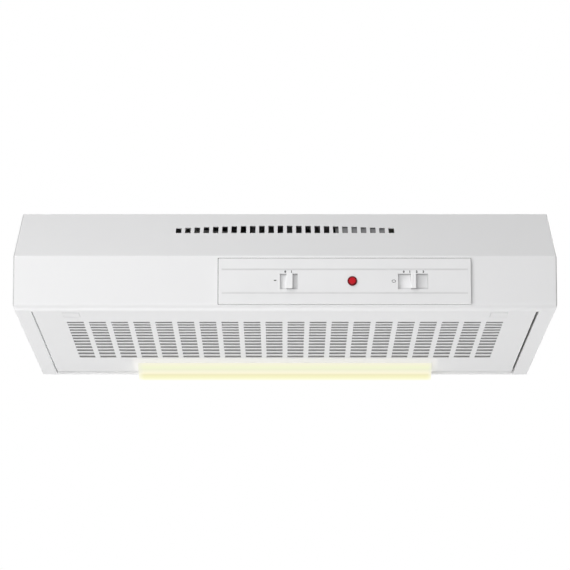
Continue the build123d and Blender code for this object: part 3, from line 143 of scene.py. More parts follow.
white = (1, 1, 1, 1)
room_level = 0.25
world = bpy.data.worlds.new("studio")
scene.world = world
world.use_nodes = True
sky = world.node_tree
sky.nodes.clear()
shown = look_rays(sky)
lit = shown.add("ShaderNodeBackground", None, {"Color": white, "Strength": room_level})
pale = shown.add("ShaderNodeBackground", None, {"Color": white, "Strength": 1.0})
surround = shown.add("ShaderNodeMixShader", None, {0: shown, 1: lit, 2: pale})
sky_end = sky.nodes.new("ShaderNodeOutputWorld")
sky.links.new(surround.socket, sky_end.inputs["Surface"])

floor_half, floor_level = 60, -9
floor_corners = [
    (x * floor_half, y * floor_half, floor_level) for x, y in ((-1, -1), (1, -1), (1, 1), (-1, 1))
]
floor_mesh = bpy.data.meshes.new("floor")
floor_mesh.from_pydata(floor_corners, [], [(0, 1, 2, 3)])
floor = bpy.data.objects.new("floor", floor_mesh)
scene.collection.objects.link(floor)
floor_finish = bpy.data.materials.new("pale_floor")
floor_finish.use_nodes = True
floor_tree = floor_finish.node_tree
floor_tree.nodes.clear()
shown = look_rays(floor_tree)
paint = shown.add("ShaderNodeBsdfDiffuse", None, {"Color": (0.86, 0.86, 0.86, 1)})
pale = shown.add("ShaderNodeEmission", None, {"Color": white, "Strength": 1.0})
ground = shown.add("ShaderNodeMixShader", None, {0: shown, 1: paint, 2: pale})
floor_end = floor_tree.nodes.new("ShaderNodeOutputMaterial")
floor_tree.links.new(ground.socket, floor_end.inputs["Surface"])
floor_mesh.materials.append(floor_finish)

for lamp_name, place, aim, size, power in (
    ("key", (-1.3, -1.9, 0.5), (-0.05, -0.45, 0.06), 1.3, 14.2),
    ("front", (-0.3, -3.0, -0.5), (0, -0.4, 0.08), 1.4, 27.2),
    ("top", (-0.7, -1.2, 1.8), (0, -0.4, 0.1), 1.2, 13.3),
    ("under", (-0.25, -0.35, -1.7), (0, -0.25, 0), 1.2, 20.7),
    ("rear", (0.9, 2.6, 1.1), (0, -0.1, 0.08), 1.6, 30),
    ("side", (2.6, 0.5, 0.25), (0.3, -0.2, 0.07), 1.4, 20),
):
    lamp = bpy.data.lights.new(lamp_name, "AREA")
    lamp.shape = "DISK"
    lamp.size = size
    lamp.energy = power
    lamp_object = bpy.data.objects.new(lamp_name, lamp)
    lamp_object.location = place
    direction = Vector(aim) - Vector(place)
    lamp_object.rotation_euler = direction.to_track_quat("-Z", "Y").to_euler()
    scene.collection.objects.link(lamp_object)


# Housing. Hood shell, top panel, side panels and back panel are pressed from 0.8 mm steel
# sheet and stove-enamelled white, with a faint peel in the gloss. A darker tone on the band's
# lower fold is painted shade that dims its highlight, and the dark line down the front edges
# of the side panels is painted shade.
def new_finish(name):
    """Starts a material: its Principled shader's node and the object's own coordinates."""
    finish = bpy.data.materials.new(name)
    finish.use_nodes = True
    shader = finish.node_tree.nodes["Principled BSDF"]
    place = finish.node_tree.nodes.new("ShaderNodeTexCoord")
    return finish, shader, Shade(finish.node_tree, place.outputs["Object"])


def wire(shader, **links):
    """Links or sets the shader's sockets; an underscore stands for a space in their names."""
    for name, value in links.items():
        socket = shader.inputs[name.replace("_", " ")]
        if isinstance(value, Shade):
            value.tree.links.new(value.socket, socket)
        else:
            socket.default_value = value


def axes(place):
    """The x, y and z of a place, each a value of its own."""
    split = place.add("ShaderNodeSeparateXYZ", None, {0: place}).socket.node
    return [Shade(place.tree, part) for part in split.outputs]


def toned(colour, share=1.0):
    """An opaque colour, darkened to a share of itself."""
    return (*(share * channel for channel in colour), 1)


def blend(factor, first, second):
    """Mix of two colours by a mask."""
    sockets = {0: factor, 6: first, 7: second}
    return factor.add("ShaderNodeMix", {"data_type": "RGBA"}, sockets, 2)


def noise(place, scale, detail=2.0, roughness=0.5):
    sockets = {"Vector": place, "Scale": scale, "Detail": detail, "Roughness": roughness}
    return place.add("ShaderNodeTexNoise", None, sockets)


def bump(height, strength, distance):
    sockets = {"Strength": strength, "Distance": distance, "Height": height}
    return height.add("ShaderNodeBump", None, sockets)


def ramp(value, low, high):
    """0 before low, 1 past high and a smooth run between; low may be the larger of the two."""
    return value.add(
        "ShaderNodeMapRange",
        {"interpolation_type": "SMOOTHSTEP"},
        {"Value": value, "From Min": low, "From Max": high},
    )


def dress(finish, *names):
    """Gives the named CAD pieces this material."""
    for name in names:
        nodes[name].data.materials.clear()
        nodes[name].data.materials.append(finish)


slope_fold_y, slope_fold_z = -0.480, 0.0605
slope_rise, slope_run = 0.48, 0.877
side_inner, side_outer = 0.2984, 0.2990


def enamel(name, colour, roughness=0.40, peel=0.06):
    """Stove enamel on a sheet of the housing, or on the panel and the tray of the same coat."""
    finish, shader, place = new_finish(name)
    beside, back, up = axes(place)
    over_slope = slope_run * (up - slope_fold_z) - slope_rise * (back - slope_fold_y)
    on_band = ramp(back, slope_fold_y + 0.0012, slope_fold_y + 0.0006)
    on_slope = ramp(over_slope, -0.0012, -0.0006)
    # Painted shade down the side panels' front edges, for the shade on their rounded corners.
    edge_painted_shade = on_band.most(on_slope) * ramp(abs(beside), side_inner, side_outer)
    # Painted shade on the band's lower fold and the lip behind it, to dim the fold's highlight.
    fold_painted_shade = ramp(back, cad_low.y + 0.0125, cad_low.y + 0.0095) * ramp(up, 0.0075, 0.0030)
    coat = blend(noise(place, 5, 3), toned(colour), toned(colour, 0.975))
    coat = blend(fold_painted_shade, coat, toned(colour, 0.90))
    wire(
        shader,
        Base_Color=blend(edge_painted_shade, coat, toned(colour, 0.67)),
        Roughness=roughness - 0.03 + 0.06 * noise(place, 40, 3),
        Normal=bump(noise(place, 380, 2), peel, 0.0002),
        Specular_IOR_Level=0.4,
    )
    return finish, shader, place


white_enamel = enamel("white_enamel", (0.80, 0.80, 0.805))[0]
dress(white_enamel, "hood_shell", "top_panel", "left_side_panel", "right_side_panel")
# Painted light: the back panel's enamel is a lighter copy of the white, so its lower edge shows
# bright.
back_enamel_painted_light = enamel("back_panel_enamel_painted_light", (0.89, 0.89, 0.89))[0]
dress(back_enamel_painted_light, "back_panel")


# Wall fixings and hinge parts. Hanging plates behind the screw holes, brackets and spring
# pins of the filter panel's hinge: zinc-plated steel, brushed and slightly spangled.
def stretched(place, scale):
    """Coordinates drawn out along the axes."""
    sockets = {"Vector": place, "Scale": scale}
    return place.add("ShaderNodeMapping", {"vector_type": "TEXTURE"}, sockets)


def plated(name, colour, roughness, stretch, spangle_scale=160.0):
    """Plated, ground or drawn metal, with streaks along the stretch and a spangle."""
    finish, shader, place = new_finish(name)
    streaks = noise(stretched(place, stretch), 900, 4, 0.6)
    spangle = place.add("ShaderNodeTexVoronoi", None, {"Vector": place, "Scale": spangle_scale}, 1)
    tone = spangle.add("ShaderNodeSeparateColor", None, {0: spangle})
    wire(
        shader,
        Base_Color=blend(0.35 * tone + 0.5 * streaks, toned(colour), toned(colour, 0.72)),
        Metallic=1.0,
        Roughness=roughness + 0.18 * streaks,
        Normal=bump(streaks, 0.15, 0.0001),
    )
    return finish


zinc = plated("zinc_plate", (0.66, 0.67, 0.69), 0.30, (6, 1, 1))
dress(zinc, "hanging_plates", "left_hinge_bracket", "right_hinge_bracket", "hinge_pins")

# Duct collar. A white moulded spigot over the outlet, dusty round its foot, with two black
# non-return flaps that turn on a steel pin across its middle.
collar_white, collar_shader, collar_place = new_finish("collar_plastic")
collar_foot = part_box("duct_collar")[0].z
dust_height = 0.006
low_down = ramp(axes(collar_place)[2], collar_foot + dust_height, collar_foot)
dust = low_down * ramp(noise(collar_place, 60, 4, 0.7), 0.35, 0.7)
wire(
    collar_shader,
    Base_Color=blend(0.6 * dust, (0.79, 0.79, 0.78, 1), (0.52, 0.50, 0.46, 1)),
    Roughness=0.42 + 0.2 * dust,
    Normal=bump(noise(collar_place, 900, 2), 0.12, 0.0001),
)
dress(collar_white, "duct_collar")

flap_black, flap_shader, flap_place = new_finish("flap_plastic")
moulding_lines = noise(stretched(flap_place, (1, 9, 1)), 120, 3)
wire(
    flap_shader,
    Base_Color=blend(moulding_lines, (0.030, 0.030, 0.032, 1), (0.048, 0.048, 0.050, 1)),
    Roughness=0.40 + 0.12 * moulding_lines,
    Normal=bump(noise(flap_place, 800, 2), 0.2, 0.0001),
)
dress(flap_black, "front_flap", "rear_flap")
dress(plated("drawn_wire", (0.70, 0.70, 0.71), 0.22, (20, 1, 1)), "flap_pin")


# Fan scroll and its cover. A black moulded volute with a grained face, closed at the top by a
# galvanised plate that five screws hold, with a moulded guard over the inlet below.
def moulded(name, colour, roughness, grain=900, depth=0.12):
    """Moulded plastic of one colour, a little cloudy, with a fine grain."""
    finish, shader, place = new_finish(name)
    wire(
        shader,
        Base_Color=blend(noise(place, 30, 2), toned(colour), toned(colour, 0.94)),
        Roughness=roughness + 0.06 * noise(place, 120, 2),
        Normal=bump(noise(place, grain, 2), depth, 0.0001),
    )
    return finish


dress(moulded("scroll_plastic", (0.030, 0.030, 0.033), 0.46, 600, 0.3), "fan_scroll")
dress(moulded("guard_plastic", (0.022, 0.022, 0.024), 0.38, 900, 0.2), "inlet_guard")
dress(plated("galvanised_plate", (0.62, 0.64, 0.66), 0.34, (1, 1, 1), 70.0), "fan_cover")


# Motor. A shaded-pole motor: two cast end shells with a stack of steel laminations between
# them, and a ground shaft that carries the impeller.
def waves(value, pitch):
    """A sine along a value, one wave to a pitch."""
    return value.math("SINE", value * (2 * pi / pitch))


motor_low, motor_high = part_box("motor")
motor_finish, motor_shader, motor_place = new_finish("motor_shell_and_stack")
motor_z = axes(motor_place)[2]
motor_deep = motor_high.z - motor_low.z
stack_low, stack_high = (motor_low.z + share * motor_deep for share in (0.34, 0.72))
stack_step = 0.01 * motor_deep
stack = ramp(motor_z, stack_low, stack_low + stack_step) * ramp(
    motor_z, stack_high, stack_high - stack_step
)
layers = waves(motor_z, 0.0006)
grit = noise(motor_place, 700, 3, 0.6)
wire(
    motor_shader,
    Base_Color=blend(
        stack,
        blend(grit, (0.42, 0.43, 0.44, 1), (0.34, 0.35, 0.36, 1)),
        blend(0.5 + 0.5 * layers, (0.10, 0.105, 0.115, 1), (0.19, 0.19, 0.20, 1)),
    ),
    Metallic=0.85,
    Roughness=0.55 - 0.12 * stack + 0.1 * grit,
    Normal=bump(0.4 * grit + 0.5 * stack * layers, 0.35, 0.0003),
)
dress(motor_finish, "motor")
dress(plated("ground_shaft", (0.72, 0.72, 0.73), 0.16, (1, 1, 14)), "motor_shaft")

# Impeller and shutter. A black glass-filled wheel with forward-curved blades, a little greasy
# towards its inlet, is held on the shaft by a plated nut. A white moulded shutter slides
# across the front windows of the scroll's outlet chamber.
impeller_low, impeller_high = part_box("impeller")
impeller_black, impeller_shader, impeller_place = new_finish("impeller_plastic")
to_inlet = ramp(axes(impeller_place)[2], impeller_high.z, impeller_low.z)
grease = ramp(noise(impeller_place, 90, 4, 0.65), 0.45, 0.7) * to_inlet
wire(
    impeller_shader,
    Base_Color=blend(grease, (0.026, 0.026, 0.029, 1), (0.055, 0.047, 0.034, 1)),
    Roughness=0.44 - 0.16 * grease,
    Normal=bump(noise(impeller_place, 500, 3), 0.25, 0.0001),
)
dress(impeller_black, "impeller")
dress(plated("nut_plate", (0.70, 0.67, 0.56), 0.28, (1, 1, 4)), "impeller_nut")
dress(moulded("shutter_plastic", (0.78, 0.78, 0.77), 0.42), "recirculation_shutter")


# Screws. Pan-head steel screws with a cross recess, bright zinc-plated, made by one tree of
# Geometry Nodes. Each stands where the CAD model has its plain screw, turned by chance.
def screw_tree():
    """Geometry Nodes that stand a recessed screw on each of the given places."""
    tree = bpy.data.node_groups.new("cross_head_screws", "GeometryNodeTree")
    face = tree.interface
    face.new_socket("Places", in_out="INPUT", socket_type="NodeSocketGeometry")
    for name in ("Head Radius", "Head Height", "Shank Radius", "Shank Length", "Recess Width"):
        face.new_socket(name, in_out="INPUT", socket_type="NodeSocketFloat")
    face.new_socket("Finish", in_out="INPUT", socket_type="NodeSocketMaterial")
    face.new_socket("Screws", in_out="OUTPUT", socket_type="NodeSocketGeometry")
    given = tree.nodes.new("NodeGroupInput")

    def value(name):
        return Shade(tree, given.outputs[name])

    def raised(part, z):
        offset = part.add("ShaderNodeCombineXYZ", None, {2: z})
        return part.add("GeometryNodeTransform", None, {"Geometry": part, "Translation": offset})

    radius, tall, wide = value("Head Radius"), value("Head Height"), value("Recess Width")
    dome, bar_length, bar_depth, bar_lift = 0.45, 1.15, 1.1, 0.65
    drum = radius.add(
        "GeometryNodeMeshCylinder",
        {"fill_type": "TRIANGLE_FAN"},
        {"Vertices": 24, "Side Segments": 1, "Fill Segments": 5, "Radius": radius, "Depth": tall},
    )
    out_x, out_y, up = axes(drum.add("GeometryNodeInputPosition"))
    far = drum.math("DIVIDE", out_x * out_x + out_y * out_y, radius * radius)
    crown = drum.add("ShaderNodeCombineXYZ", None, {2: -dome * tall * far * far * (up > 0.0)})
    domed = drum.add("GeometryNodeSetPosition", None, {"Geometry": drum, "Offset": crown})
    cut = tree.nodes.new("GeometryNodeMeshBoolean")
    cut.operation = "DIFFERENCE"
    tree.links.new(domed.socket, cut.inputs["Mesh 1"])
    for long_x, long_y in ((bar_length * radius, wide), (wide, bar_length * radius)):
        size = drum.add("ShaderNodeCombineXYZ", None, {0: long_x, 1: long_y, 2: bar_depth * tall})
        bar = raised(drum.add("GeometryNodeMeshCube", None, {"Size": size}), bar_lift * tall)
        tree.links.new(bar.socket, cut.inputs["Mesh 2"])
    head = raised(Shade(tree, cut.outputs["Mesh"]), 0.5 * tall)

    long = value("Shank Length")
    shank = long.add(
        "GeometryNodeMeshCylinder",
        None,
        {"Vertices": 16, "Side Segments": 1, "Radius": value("Shank Radius"), "Depth": long},
    )
    joint = tree.nodes.new("GeometryNodeJoinGeometry")
    for part in (head, raised(shank, -0.5 * long)):
        tree.links.new(part.socket, joint.inputs[0])
    screw = Shade(tree, joint.outputs[0])

    facing = screw.add(
        "GeometryNodeInputNamedAttribute", {"data_type": "FLOAT_VECTOR"}, {"Name": "facing"}
    )
    turned = screw.add("FunctionNodeAlignRotationToVector", {"axis": "Z"}, {"Vector": facing})
    angle = screw.add(
        "FunctionNodeRandomValue", {"data_type": "FLOAT"}, {3: 2 * pi, "Seed": 4}, 1
    )
    about = screw.add(
        "FunctionNodeAxisAngleToRotation", None, {"Axis": (0, 0, 1), "Angle": angle}
    )
    spun = screw.add(
        "FunctionNodeRotateRotation",
        {"rotation_space": "LOCAL"},
        {"Rotation": turned, "Rotate By": about},
    )
    placed = screw.add(
        "GeometryNodeInstanceOnPoints",
        None,
        {"Points": value("Places"), "Instance": screw, "Rotation": spun},
    )
    real = placed.add("GeometryNodeRealizeInstances", None, {"Geometry": placed})
    finished = real.add(
        "GeometryNodeSetMaterial", None, {"Geometry": real, "Material": value("Finish")}
    )
    end = tree.nodes.new("NodeGroupOutput")
    tree.links.new(finished.socket, end.inputs["Screws"])
    return tree


def middle_of(corners):
    return sum(corners, Vector()) / len(corners)


def solids_of(name):
    """The corners of each solid of a CAD node, one list for a solid."""
    copy = bmesh.new()
    copy.from_mesh(nodes[name].data)
    bmesh.ops.remove_doubles(copy, verts=copy.verts, dist=1e-6)
    known = set()
    found = []
    for start in copy.verts:
        if start in known:
            continue
        known.add(start)
        reached, solid = [start], []
        while reached:
            corner = reached.pop()
            solid.append(corner.co.copy())
            for side in corner.link_edges:
                other = side.other_vert(corner)
                if other not in known:
                    known.add(other)
                    reached.append(other)
        found.append(solid)
    copy.free()
    return sorted(found, key=lambda solid: tuple(round(v, 5) for v in middle_of(solid)))


def new_piece(name, shape, finish):
    """Turns a finished bmesh into a piece of the scene, in one material."""
    mesh = bpy.data.meshes.new(name)
    shape.to_mesh(mesh)
    shape.free()
    mesh.materials.append(finish)
    for side in mesh.polygons:
        side.material_index = 0
    piece = bpy.data.objects.new(name, mesh)
    scene.collection.objects.link(piece)
    return piece


def screws_of(name, ways, head_radius, head_height, shank_radius):
    """Puts recessed screws in place of a CAD node's plain ones, as one piece."""
    level_off, radius_off, fewest_corners = 1e-5, 3e-4, 8
    whole = bmesh.new()
    for way in ways:
        way = Vector(way).normalized()
        places, long = [], 0
        for solid in solids_of(name):
            middle = middle_of(solid)
            reach = [(corner - middle).dot(way) for corner in solid]
            ring = [corner for corner, far in zip(solid, reach) if far > max(reach) - level_off]
            wide = [
                (corner - middle - (corner - middle).dot(way) * way).length for corner in ring
            ]
            if len(ring) < fewest_corners or max(abs(w - head_radius) for w in wide) > radius_off:
                continue
            places.append(middle + (max(reach) - head_height) * way)
            long = max(reach) - min(reach) - head_height
        if not places:
            continue
        dots = bpy.data.meshes.new(name + "_places")
        dots.from_pydata(places, [], [])
        facing = dots.attributes.new("facing", "FLOAT_VECTOR", "POINT")
        for entry in facing.data:
            entry.vector = way
        points = bpy.data.objects.new(name + "_places", dots)
        scene.collection.objects.link(points)
        maker = points.modifiers.new("screws", "NODES")
        maker.node_group = cross_head
        sizes = {
            "Head Radius": head_radius,
            "Head Height": head_height,
            "Shank Radius": shank_radius,
            "Shank Length": long,
            "Recess Width": 0.28 * head_radius,
            "Finish": screw_zinc,
        }
        for item in cross_head.interface.items_tree:
            if item.name in sizes:
                maker[item.identifier] = sizes[item.name]
        depsgraph = bpy.context.evaluated_depsgraph_get()
        whole.from_mesh(bpy.data.meshes.new_from_object(points.evaluated_get(depsgraph)))
        points.modifiers.remove(maker)
        bpy.data.objects.remove(points)
    piece = new_piece(name + "_recessed", whole, screw_zinc)
    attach(piece, "hood")
    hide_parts(name)


cross_head = screw_tree()
screw_zinc = plated("screw_zinc", (0.74, 0.74, 0.75), 0.24, (1, 1, 1), 900.0)
pan_head = {"head_radius": 0.0038, "head_height": 0.0022, "shank_radius": 0.0019}
lid_head = {"head_radius": 0.0026, "head_height": 0.0022, "shank_radius": 0.0014}
along_slope = [(0, slope_rise, -slope_run), (0, -slope_rise, slope_run)]
screws_of("fan_screws", [(0, 0, -1)], **pan_head)
screws_of("motor_screws", [(0, 0, -1), (0, 0, 1)], **pan_head)
screws_of("collar_screws", [(0, 0, 1)], **pan_head)
screws_of("lamp_screws", [(0, -1, 0), (0, 0, -1), (0, 0, 1)], **pan_head)
screws_of("terminal_box_screws", along_slope, **lid_head)

# Wiring. A grey moulded terminal box behind the right-hand vent slots, with painted shade at
# its left end, its cover and nylon terminal block, the nylon gland on the top, and white leads
# held by nylon clips.
box_grey, box_shader, box_place = new_finish("box_grey_plastic")
box_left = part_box("terminal_box")[0].x
# Painted shade: the left end, seen through one vent slot, is darkened for the shade on its side.
box_end_painted_shade = ramp(axes(box_place)[0], box_left + 0.0062, box_left + 0.0052)
box_grain = noise(box_place, 700, 2)
box_tone = blend(box_grain, (0.17, 0.17, 0.175, 1), (0.155, 0.155, 0.16, 1))
wire(
    box_shader,
    Base_Color=blend(box_end_painted_shade, box_tone, (0.035, 0.035, 0.037, 1)),
    Roughness=0.50 + 0.08 * box_grain,
    Normal=bump(box_grain, 0.2, 0.0001),
)
dress(box_grey, "terminal_box", "terminal_box_cover")
gland_grey = moulded("gland_nylon", (0.20, 0.20, 0.205), 0.40, 500, 0.15)
dress(gland_grey, "cable_gland", "gland_lock_nut")
nylon = moulded("natural_nylon", (0.70, 0.68, 0.62), 0.4, 500, 0.1)
dress(nylon, "terminal_block", "cable_clips")
sheath, sheath_shader, sheath_place = new_finish("lead_sheath")
scuffs = ramp(noise(sheath_place, 45, 4, 0.7), 0.55, 0.72)
wire(
    sheath_shader,
    Base_Color=blend(0.5 * scuffs, (0.76, 0.76, 0.74, 1), (0.55, 0.54, 0.50, 1)),
    Roughness=0.40 + 0.2 * scuffs,
    Normal=bump(noise(sheath_place, 350, 3), 0.15, 0.0002),
)
dress(sheath, "switch_lead", "motor_lead", "lamp_lead")


# Controls. The fascia is a white moulding with a fine satin grain. Its two grooves and the
# rims and walls of its two windows carry painted shade, and a thin dark strip round its edge
# is painted shade standing in for the shadow line there. Behind the band a grey cover carries
# two slide switches.
def ring_of_faces(shape, first, second):
    """Joins two closed loops of corners by a face from each side to the other's."""
    for i, corner in enumerate(first):
        j = (i + 1) % len(first)
        shape.faces.new((corner, first[j], second[j], second[i]))


satin_white, fascia_shader, fascia_place = new_finish("satin_white_plastic")
fascia_low, fascia_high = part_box("control_fascia")
fascia_x, fascia_y, fascia_z = axes(fascia_place)
painted_shade_black = (0.12, 0.12, 0.125, 1)
groove_end, groove_stop = 0.0038, 0.0002
groove_left, groove_right = fascia_low.x + groove_end, fascia_high.x - groove_end
between = ramp(fascia_x, groove_left - groove_stop, groove_left) * ramp(
    fascia_x, groove_right + groove_stop, groove_right
)
# Painted shade along the two grooves, where their own shadow lies.
grooves = 0.0
for groove_z, depth in ((0.0186, 0.9), (0.0452, 1.05)):
    grooves = depth * ramp(abs(fascia_z - groove_z), 0.0014, 0.0003) + grooves
groove_painted_shade = between * grooves * (0.8 + 0.4 * noise(fascia_place, 90, 3))
recess_low, recess_high = 0.0234, 0.0401
over_or_under = (recess_low - fascia_z).most(fascia_z - recess_high)
wall = ramp(fascia_y, fascia_low.y + 0.0003, fascia_low.y + 0.0009)
# Painted shade round each window's rim and walls, heavier to the right where the shadow falls.
window_painted_shade = 0.0
for recess_left, recess_right in ((-0.0054, 0.01365), (0.12465, 0.1574)):
    outside = (recess_left - fascia_x).most(fascia_x - recess_right).most(over_or_under)
    rim = ramp(abs(outside), 0.0007, 0.0001)
    to_right = ramp(fascia_x, recess_left, recess_right)
    window_painted_shade = rim * (0.05 + 0.17 * to_right + 0.55 * wall) + window_painted_shade
fascia_cloud = blend(noise(fascia_place, 30, 2), (0.80, 0.80, 0.805, 1), (0.76, 0.76, 0.765, 1))
wire(
    fascia_shader,
    Base_Color=blend(0.15 * groove_painted_shade + window_painted_shade, fascia_cloud, painted_shade_black),
    Roughness=0.44 + 0.06 * noise(fascia_place, 120, 2) + 0.2 * groove_painted_shade,
    Normal=bump(noise(fascia_place, 900, 2), 0.12, 0.0001),
)
dress(satin_white, "control_fascia")

# Painted shade: a thin dark strip round the fascia's edge, in place of its shadow line.
shade_strip_finish, shade_strip_shader, shade_strip_place = new_finish("painted_shade_strip")
cells = shade_strip_place.add("ShaderNodeTexVoronoi", None, {"Vector": shade_strip_place, "Scale": 2500.0})
wire(
    shade_strip_shader,
    Base_Color=blend(cells, (0.13, 0.13, 0.13, 1), (0.07, 0.07, 0.07, 1)),
    Roughness=0.9,
    Normal=bump(cells, 0.4, 0.0001),
)
band_y = fascia_low.y + 0.0032
left, right = fascia_low.x - 0.0007, fascia_high.x - 0.0001
bottom, top = fascia_low.z - 0.0002, fascia_high.z + 0.0008
strip_width, strip_front, strip_back = 0.0025, band_y - 0.0003, band_y - 0.00002
shade_strip = bmesh.new()
loops = []
for inset in (0, strip_width):
    corners = (
        (left + inset, bottom + inset),
        (right - inset, bottom + inset),
        (right - inset, top - inset),
        (left + inset, top - inset),
    )
    for y in (strip_front, strip_back):
        loops.append([shade_strip.verts.new((x, y, z)) for x, z in corners])
outer_front, outer_back, inner_front, inner_back = loops
ring_of_faces(shade_strip, outer_front, outer_back)
ring_of_faces(shade_strip, inner_front, inner_back)
ring_of_faces(shade_strip, outer_front, inner_front)
ring_of_faces(shade_strip, outer_back, inner_back)
bmesh.ops.recalc_face_normals(shade_strip, faces=shade_strip.faces)
fascia_shade_strip = new_piece("fascia_shade_strip", shade_strip, shade_strip_finish)
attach(fascia_shade_strip, "hood")
dress(moulded("cover_grey_plastic", (0.34, 0.34, 0.345), 0.5, 700, 0.2), "control_cover")
dress(moulded("switch_black", (0.020, 0.020, 0.022), 0.36, 700, 0.15), "light_switch", "fan_switch")


# Printed marks. Small dark numbers over each slider's stops, 0 and 1 for the light and 0 to 3
# for the fan, with a lamp sign and a ring at the left of the windows, in a thin film of ink.
def ink_shape(outline, hole=None):
    """A flat printed shape, facing forwards, from its outline and the outline of a hole."""
    shape = bmesh.new()

    def front_and_back(points):
        depths = (print_y - ink_thick, print_y)
        return [[shape.verts.new((x, y, z)) for x, z in points] for y in depths]

    front, back = front_and_back(outline)
    ring_of_faces(shape, front, back)
    if hole is None:
        shape.faces.new(front)
        shape.faces.new(back)
    else:
        hole_front, hole_back = front_and_back(hole)
        ring_of_faces(shape, front, hole_front)
        ring_of_faces(shape, back, hole_back)
        ring_of_faces(shape, hole_front, hole_back)
    bmesh.ops.recalc_face_normals(shape, faces=shape.faces)
    mesh = bpy.data.meshes.new("ink_shape")
    shape.to_mesh(mesh)
    shape.free()
    return mesh


ink, ink_shader, ink_place = new_finish("printing_ink")
ink_grain = noise(ink_place, 3000, 2)
wire(
    ink_shader,
    Base_Color=blend(ink_grain, (0.010, 0.010, 0.012, 1), (0.024, 0.024, 0.026, 1)),
    Roughness=0.5,
    Normal=bump(noise(ink_place, 4000, 2), 0.1, 0.00005),
)
print_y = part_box("control_fascia")[0].y
ink_thick = 0.00006
number_height, number_z = 0.0022, 0.04255
height_of_size = 0.7
light_stops = (("0", 0.0003), ("1", 0.0071))
fan_stops = (("0", 0.1309), ("1", 0.1376), ("2", 0.1452), ("3", 0.1525))
marks = bmesh.new()
for number, x in light_stops + fan_stops:
    text = bpy.data.curves.new("number", "FONT")
    text.body = number
    text.size = number_height / height_of_size
    text.align_x = "CENTER"
    text.extrude = ink_thick / 2
    text.offset = 0.00024
    writing = bpy.data.objects.new("number", text)
    scene.collection.objects.link(writing)
    depsgraph = bpy.context.evaluated_depsgraph_get()
    shape = bpy.data.meshes.new_from_object(writing.evaluated_get(depsgraph))
    bpy.data.objects.remove(writing)
    foot = (x, print_y - ink_thick / 2, number_z - number_height / 2)
    shape.transform(Matrix.Translation(foot) @ Matrix.Rotation(pi / 2, 4, "X"))
    marks.from_mesh(shape)
ring_x, ring_z = 0.1199, 0.0319
turn = [2 * pi * i / 32 for i in range(32)]
outer, inner = (
    [(ring_x + wide * cos(a), ring_z + tall * sin(a)) for a in turn]
    for wide, tall in ((0.0023, 0.0016), (0.0018, 0.0011))
)
marks.from_mesh(ink_shape(outer, inner))
lamp_x, lamp_z = -0.0109, 0.0333
lamp_half, lamp_drop = 0.0016, 0.0012
lower_half = [pi + pi * i / 12 for i in range(13)]
lamp_sign = [(lamp_x + lamp_half * cos(a), lamp_z + lamp_drop * sin(a)) for a in lower_half]
marks.from_mesh(ink_shape(lamp_sign))
printed_marks = new_piece("printed_marks", marks, ink)
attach(printed_marks, "hood")

# Sliders. White grips with one shallow groove, each on a shield that closes its window from
# behind. They are polished by the fingertip on their front. Painted shade darkens the grip's
# underside, the shield's lower and upper edge and, faintly, the whole shield behind the window.
slider_white, slider_shader, slider_place = new_finish("slider_white_plastic")
_, slider_y, slider_z = axes(slider_place)
touched = ramp(slider_y, print_y + 0.0002, print_y - 0.002)
behind = ramp(slider_y, print_y, print_y + 0.001)
at_foot = ramp(slider_z, recess_low + 0.0024, recess_low + 0.0006)
at_head = ramp(slider_z, recess_high - 0.0016, recess_high)
under = (1 - behind) * ramp(slider_z, recess_low + 0.0003, recess_low - 0.0001)
# Painted shade under the grip, along the shield's edges and faintly over the shield behind.
slider_painted_shade = behind * (0.02 + 0.30 * at_foot + 0.15 * at_head) + 0.8 * under
slider_cloud = blend(noise(slider_place, 60, 2), (0.86, 0.86, 0.865, 1), (0.83, 0.83, 0.835, 1))
wire(
    slider_shader,
    Base_Color=blend(slider_painted_shade, slider_cloud, painted_shade_black),
    Roughness=0.46 - 0.14 * touched,
    Normal=bump(noise(slider_place, 900, 2), 0.12, 0.0001),
)
dress(slider_white, "light_slider", "fan_slider")

# Pilot light. A domed lens of clear red plastic, darker round its rim, over a small neon
# lamp with a glass bulb.
red_plastic, red_shader, red_place = new_finish("red_plastic")
low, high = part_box("pilot_lens")
middle = (low + high) / 2
from_middle = red_place.add(
    "ShaderNodeVectorMath", {"operation": "SUBTRACT"}, {0: red_place, 1: tuple(middle)}
)
flat_on = red_place.add(
    "ShaderNodeVectorMath", {"operation": "MULTIPLY"}, {0: from_middle, 1: (1, 0, 1)}
)
radius = red_place.add("ShaderNodeVectorMath", {"operation": "LENGTH"}, {0: flat_on}, 1)
rim = ramp(radius, 0.0028, 0.0045)
facets = noise(red_place, 900, 1)
red_cloud = blend(facets, (0.44, 0.007, 0.014, 1), (0.36, 0.005, 0.011, 1))
wire(
    red_shader,
    Base_Color=blend(rim, red_cloud, (0.12, 0.003, 0.008, 1)),
    Roughness=0.22 + 0.08 * facets,
    Specular_IOR_Level=0.12,
    Emission_Color=blend(rim, (0.13, 0.003, 0.005, 1), (0.01, 0.0, 0.0, 1)),
    Emission_Strength=1.0,
)
dress(red_plastic, "pilot_lens")
neon_glass, neon_shader, neon_place = new_finish("neon_glass")
wire(
    neon_shader,
    Base_Color=blend(noise(neon_place, 200, 2), (0.85, 0.42, 0.30, 1), (0.95, 0.60, 0.45, 1)),
    Roughness=0.08,
    Coat_Weight=0.6,
)
dress(neon_glass, "pilot_lamp")


# Lamp. A fluorescent tube with metal caps between two white holders, on an enamelled tray
# with its ballast, behind a frosted plastic lens that hangs below the panel and glows warm.
def at_ends(value, low, high, start, full):
    """0 in the middle of a run and 1 at both ends, by a smooth step inside each end."""
    return ramp(value, low + start, low + full).most(ramp(value, high - start, high - full))


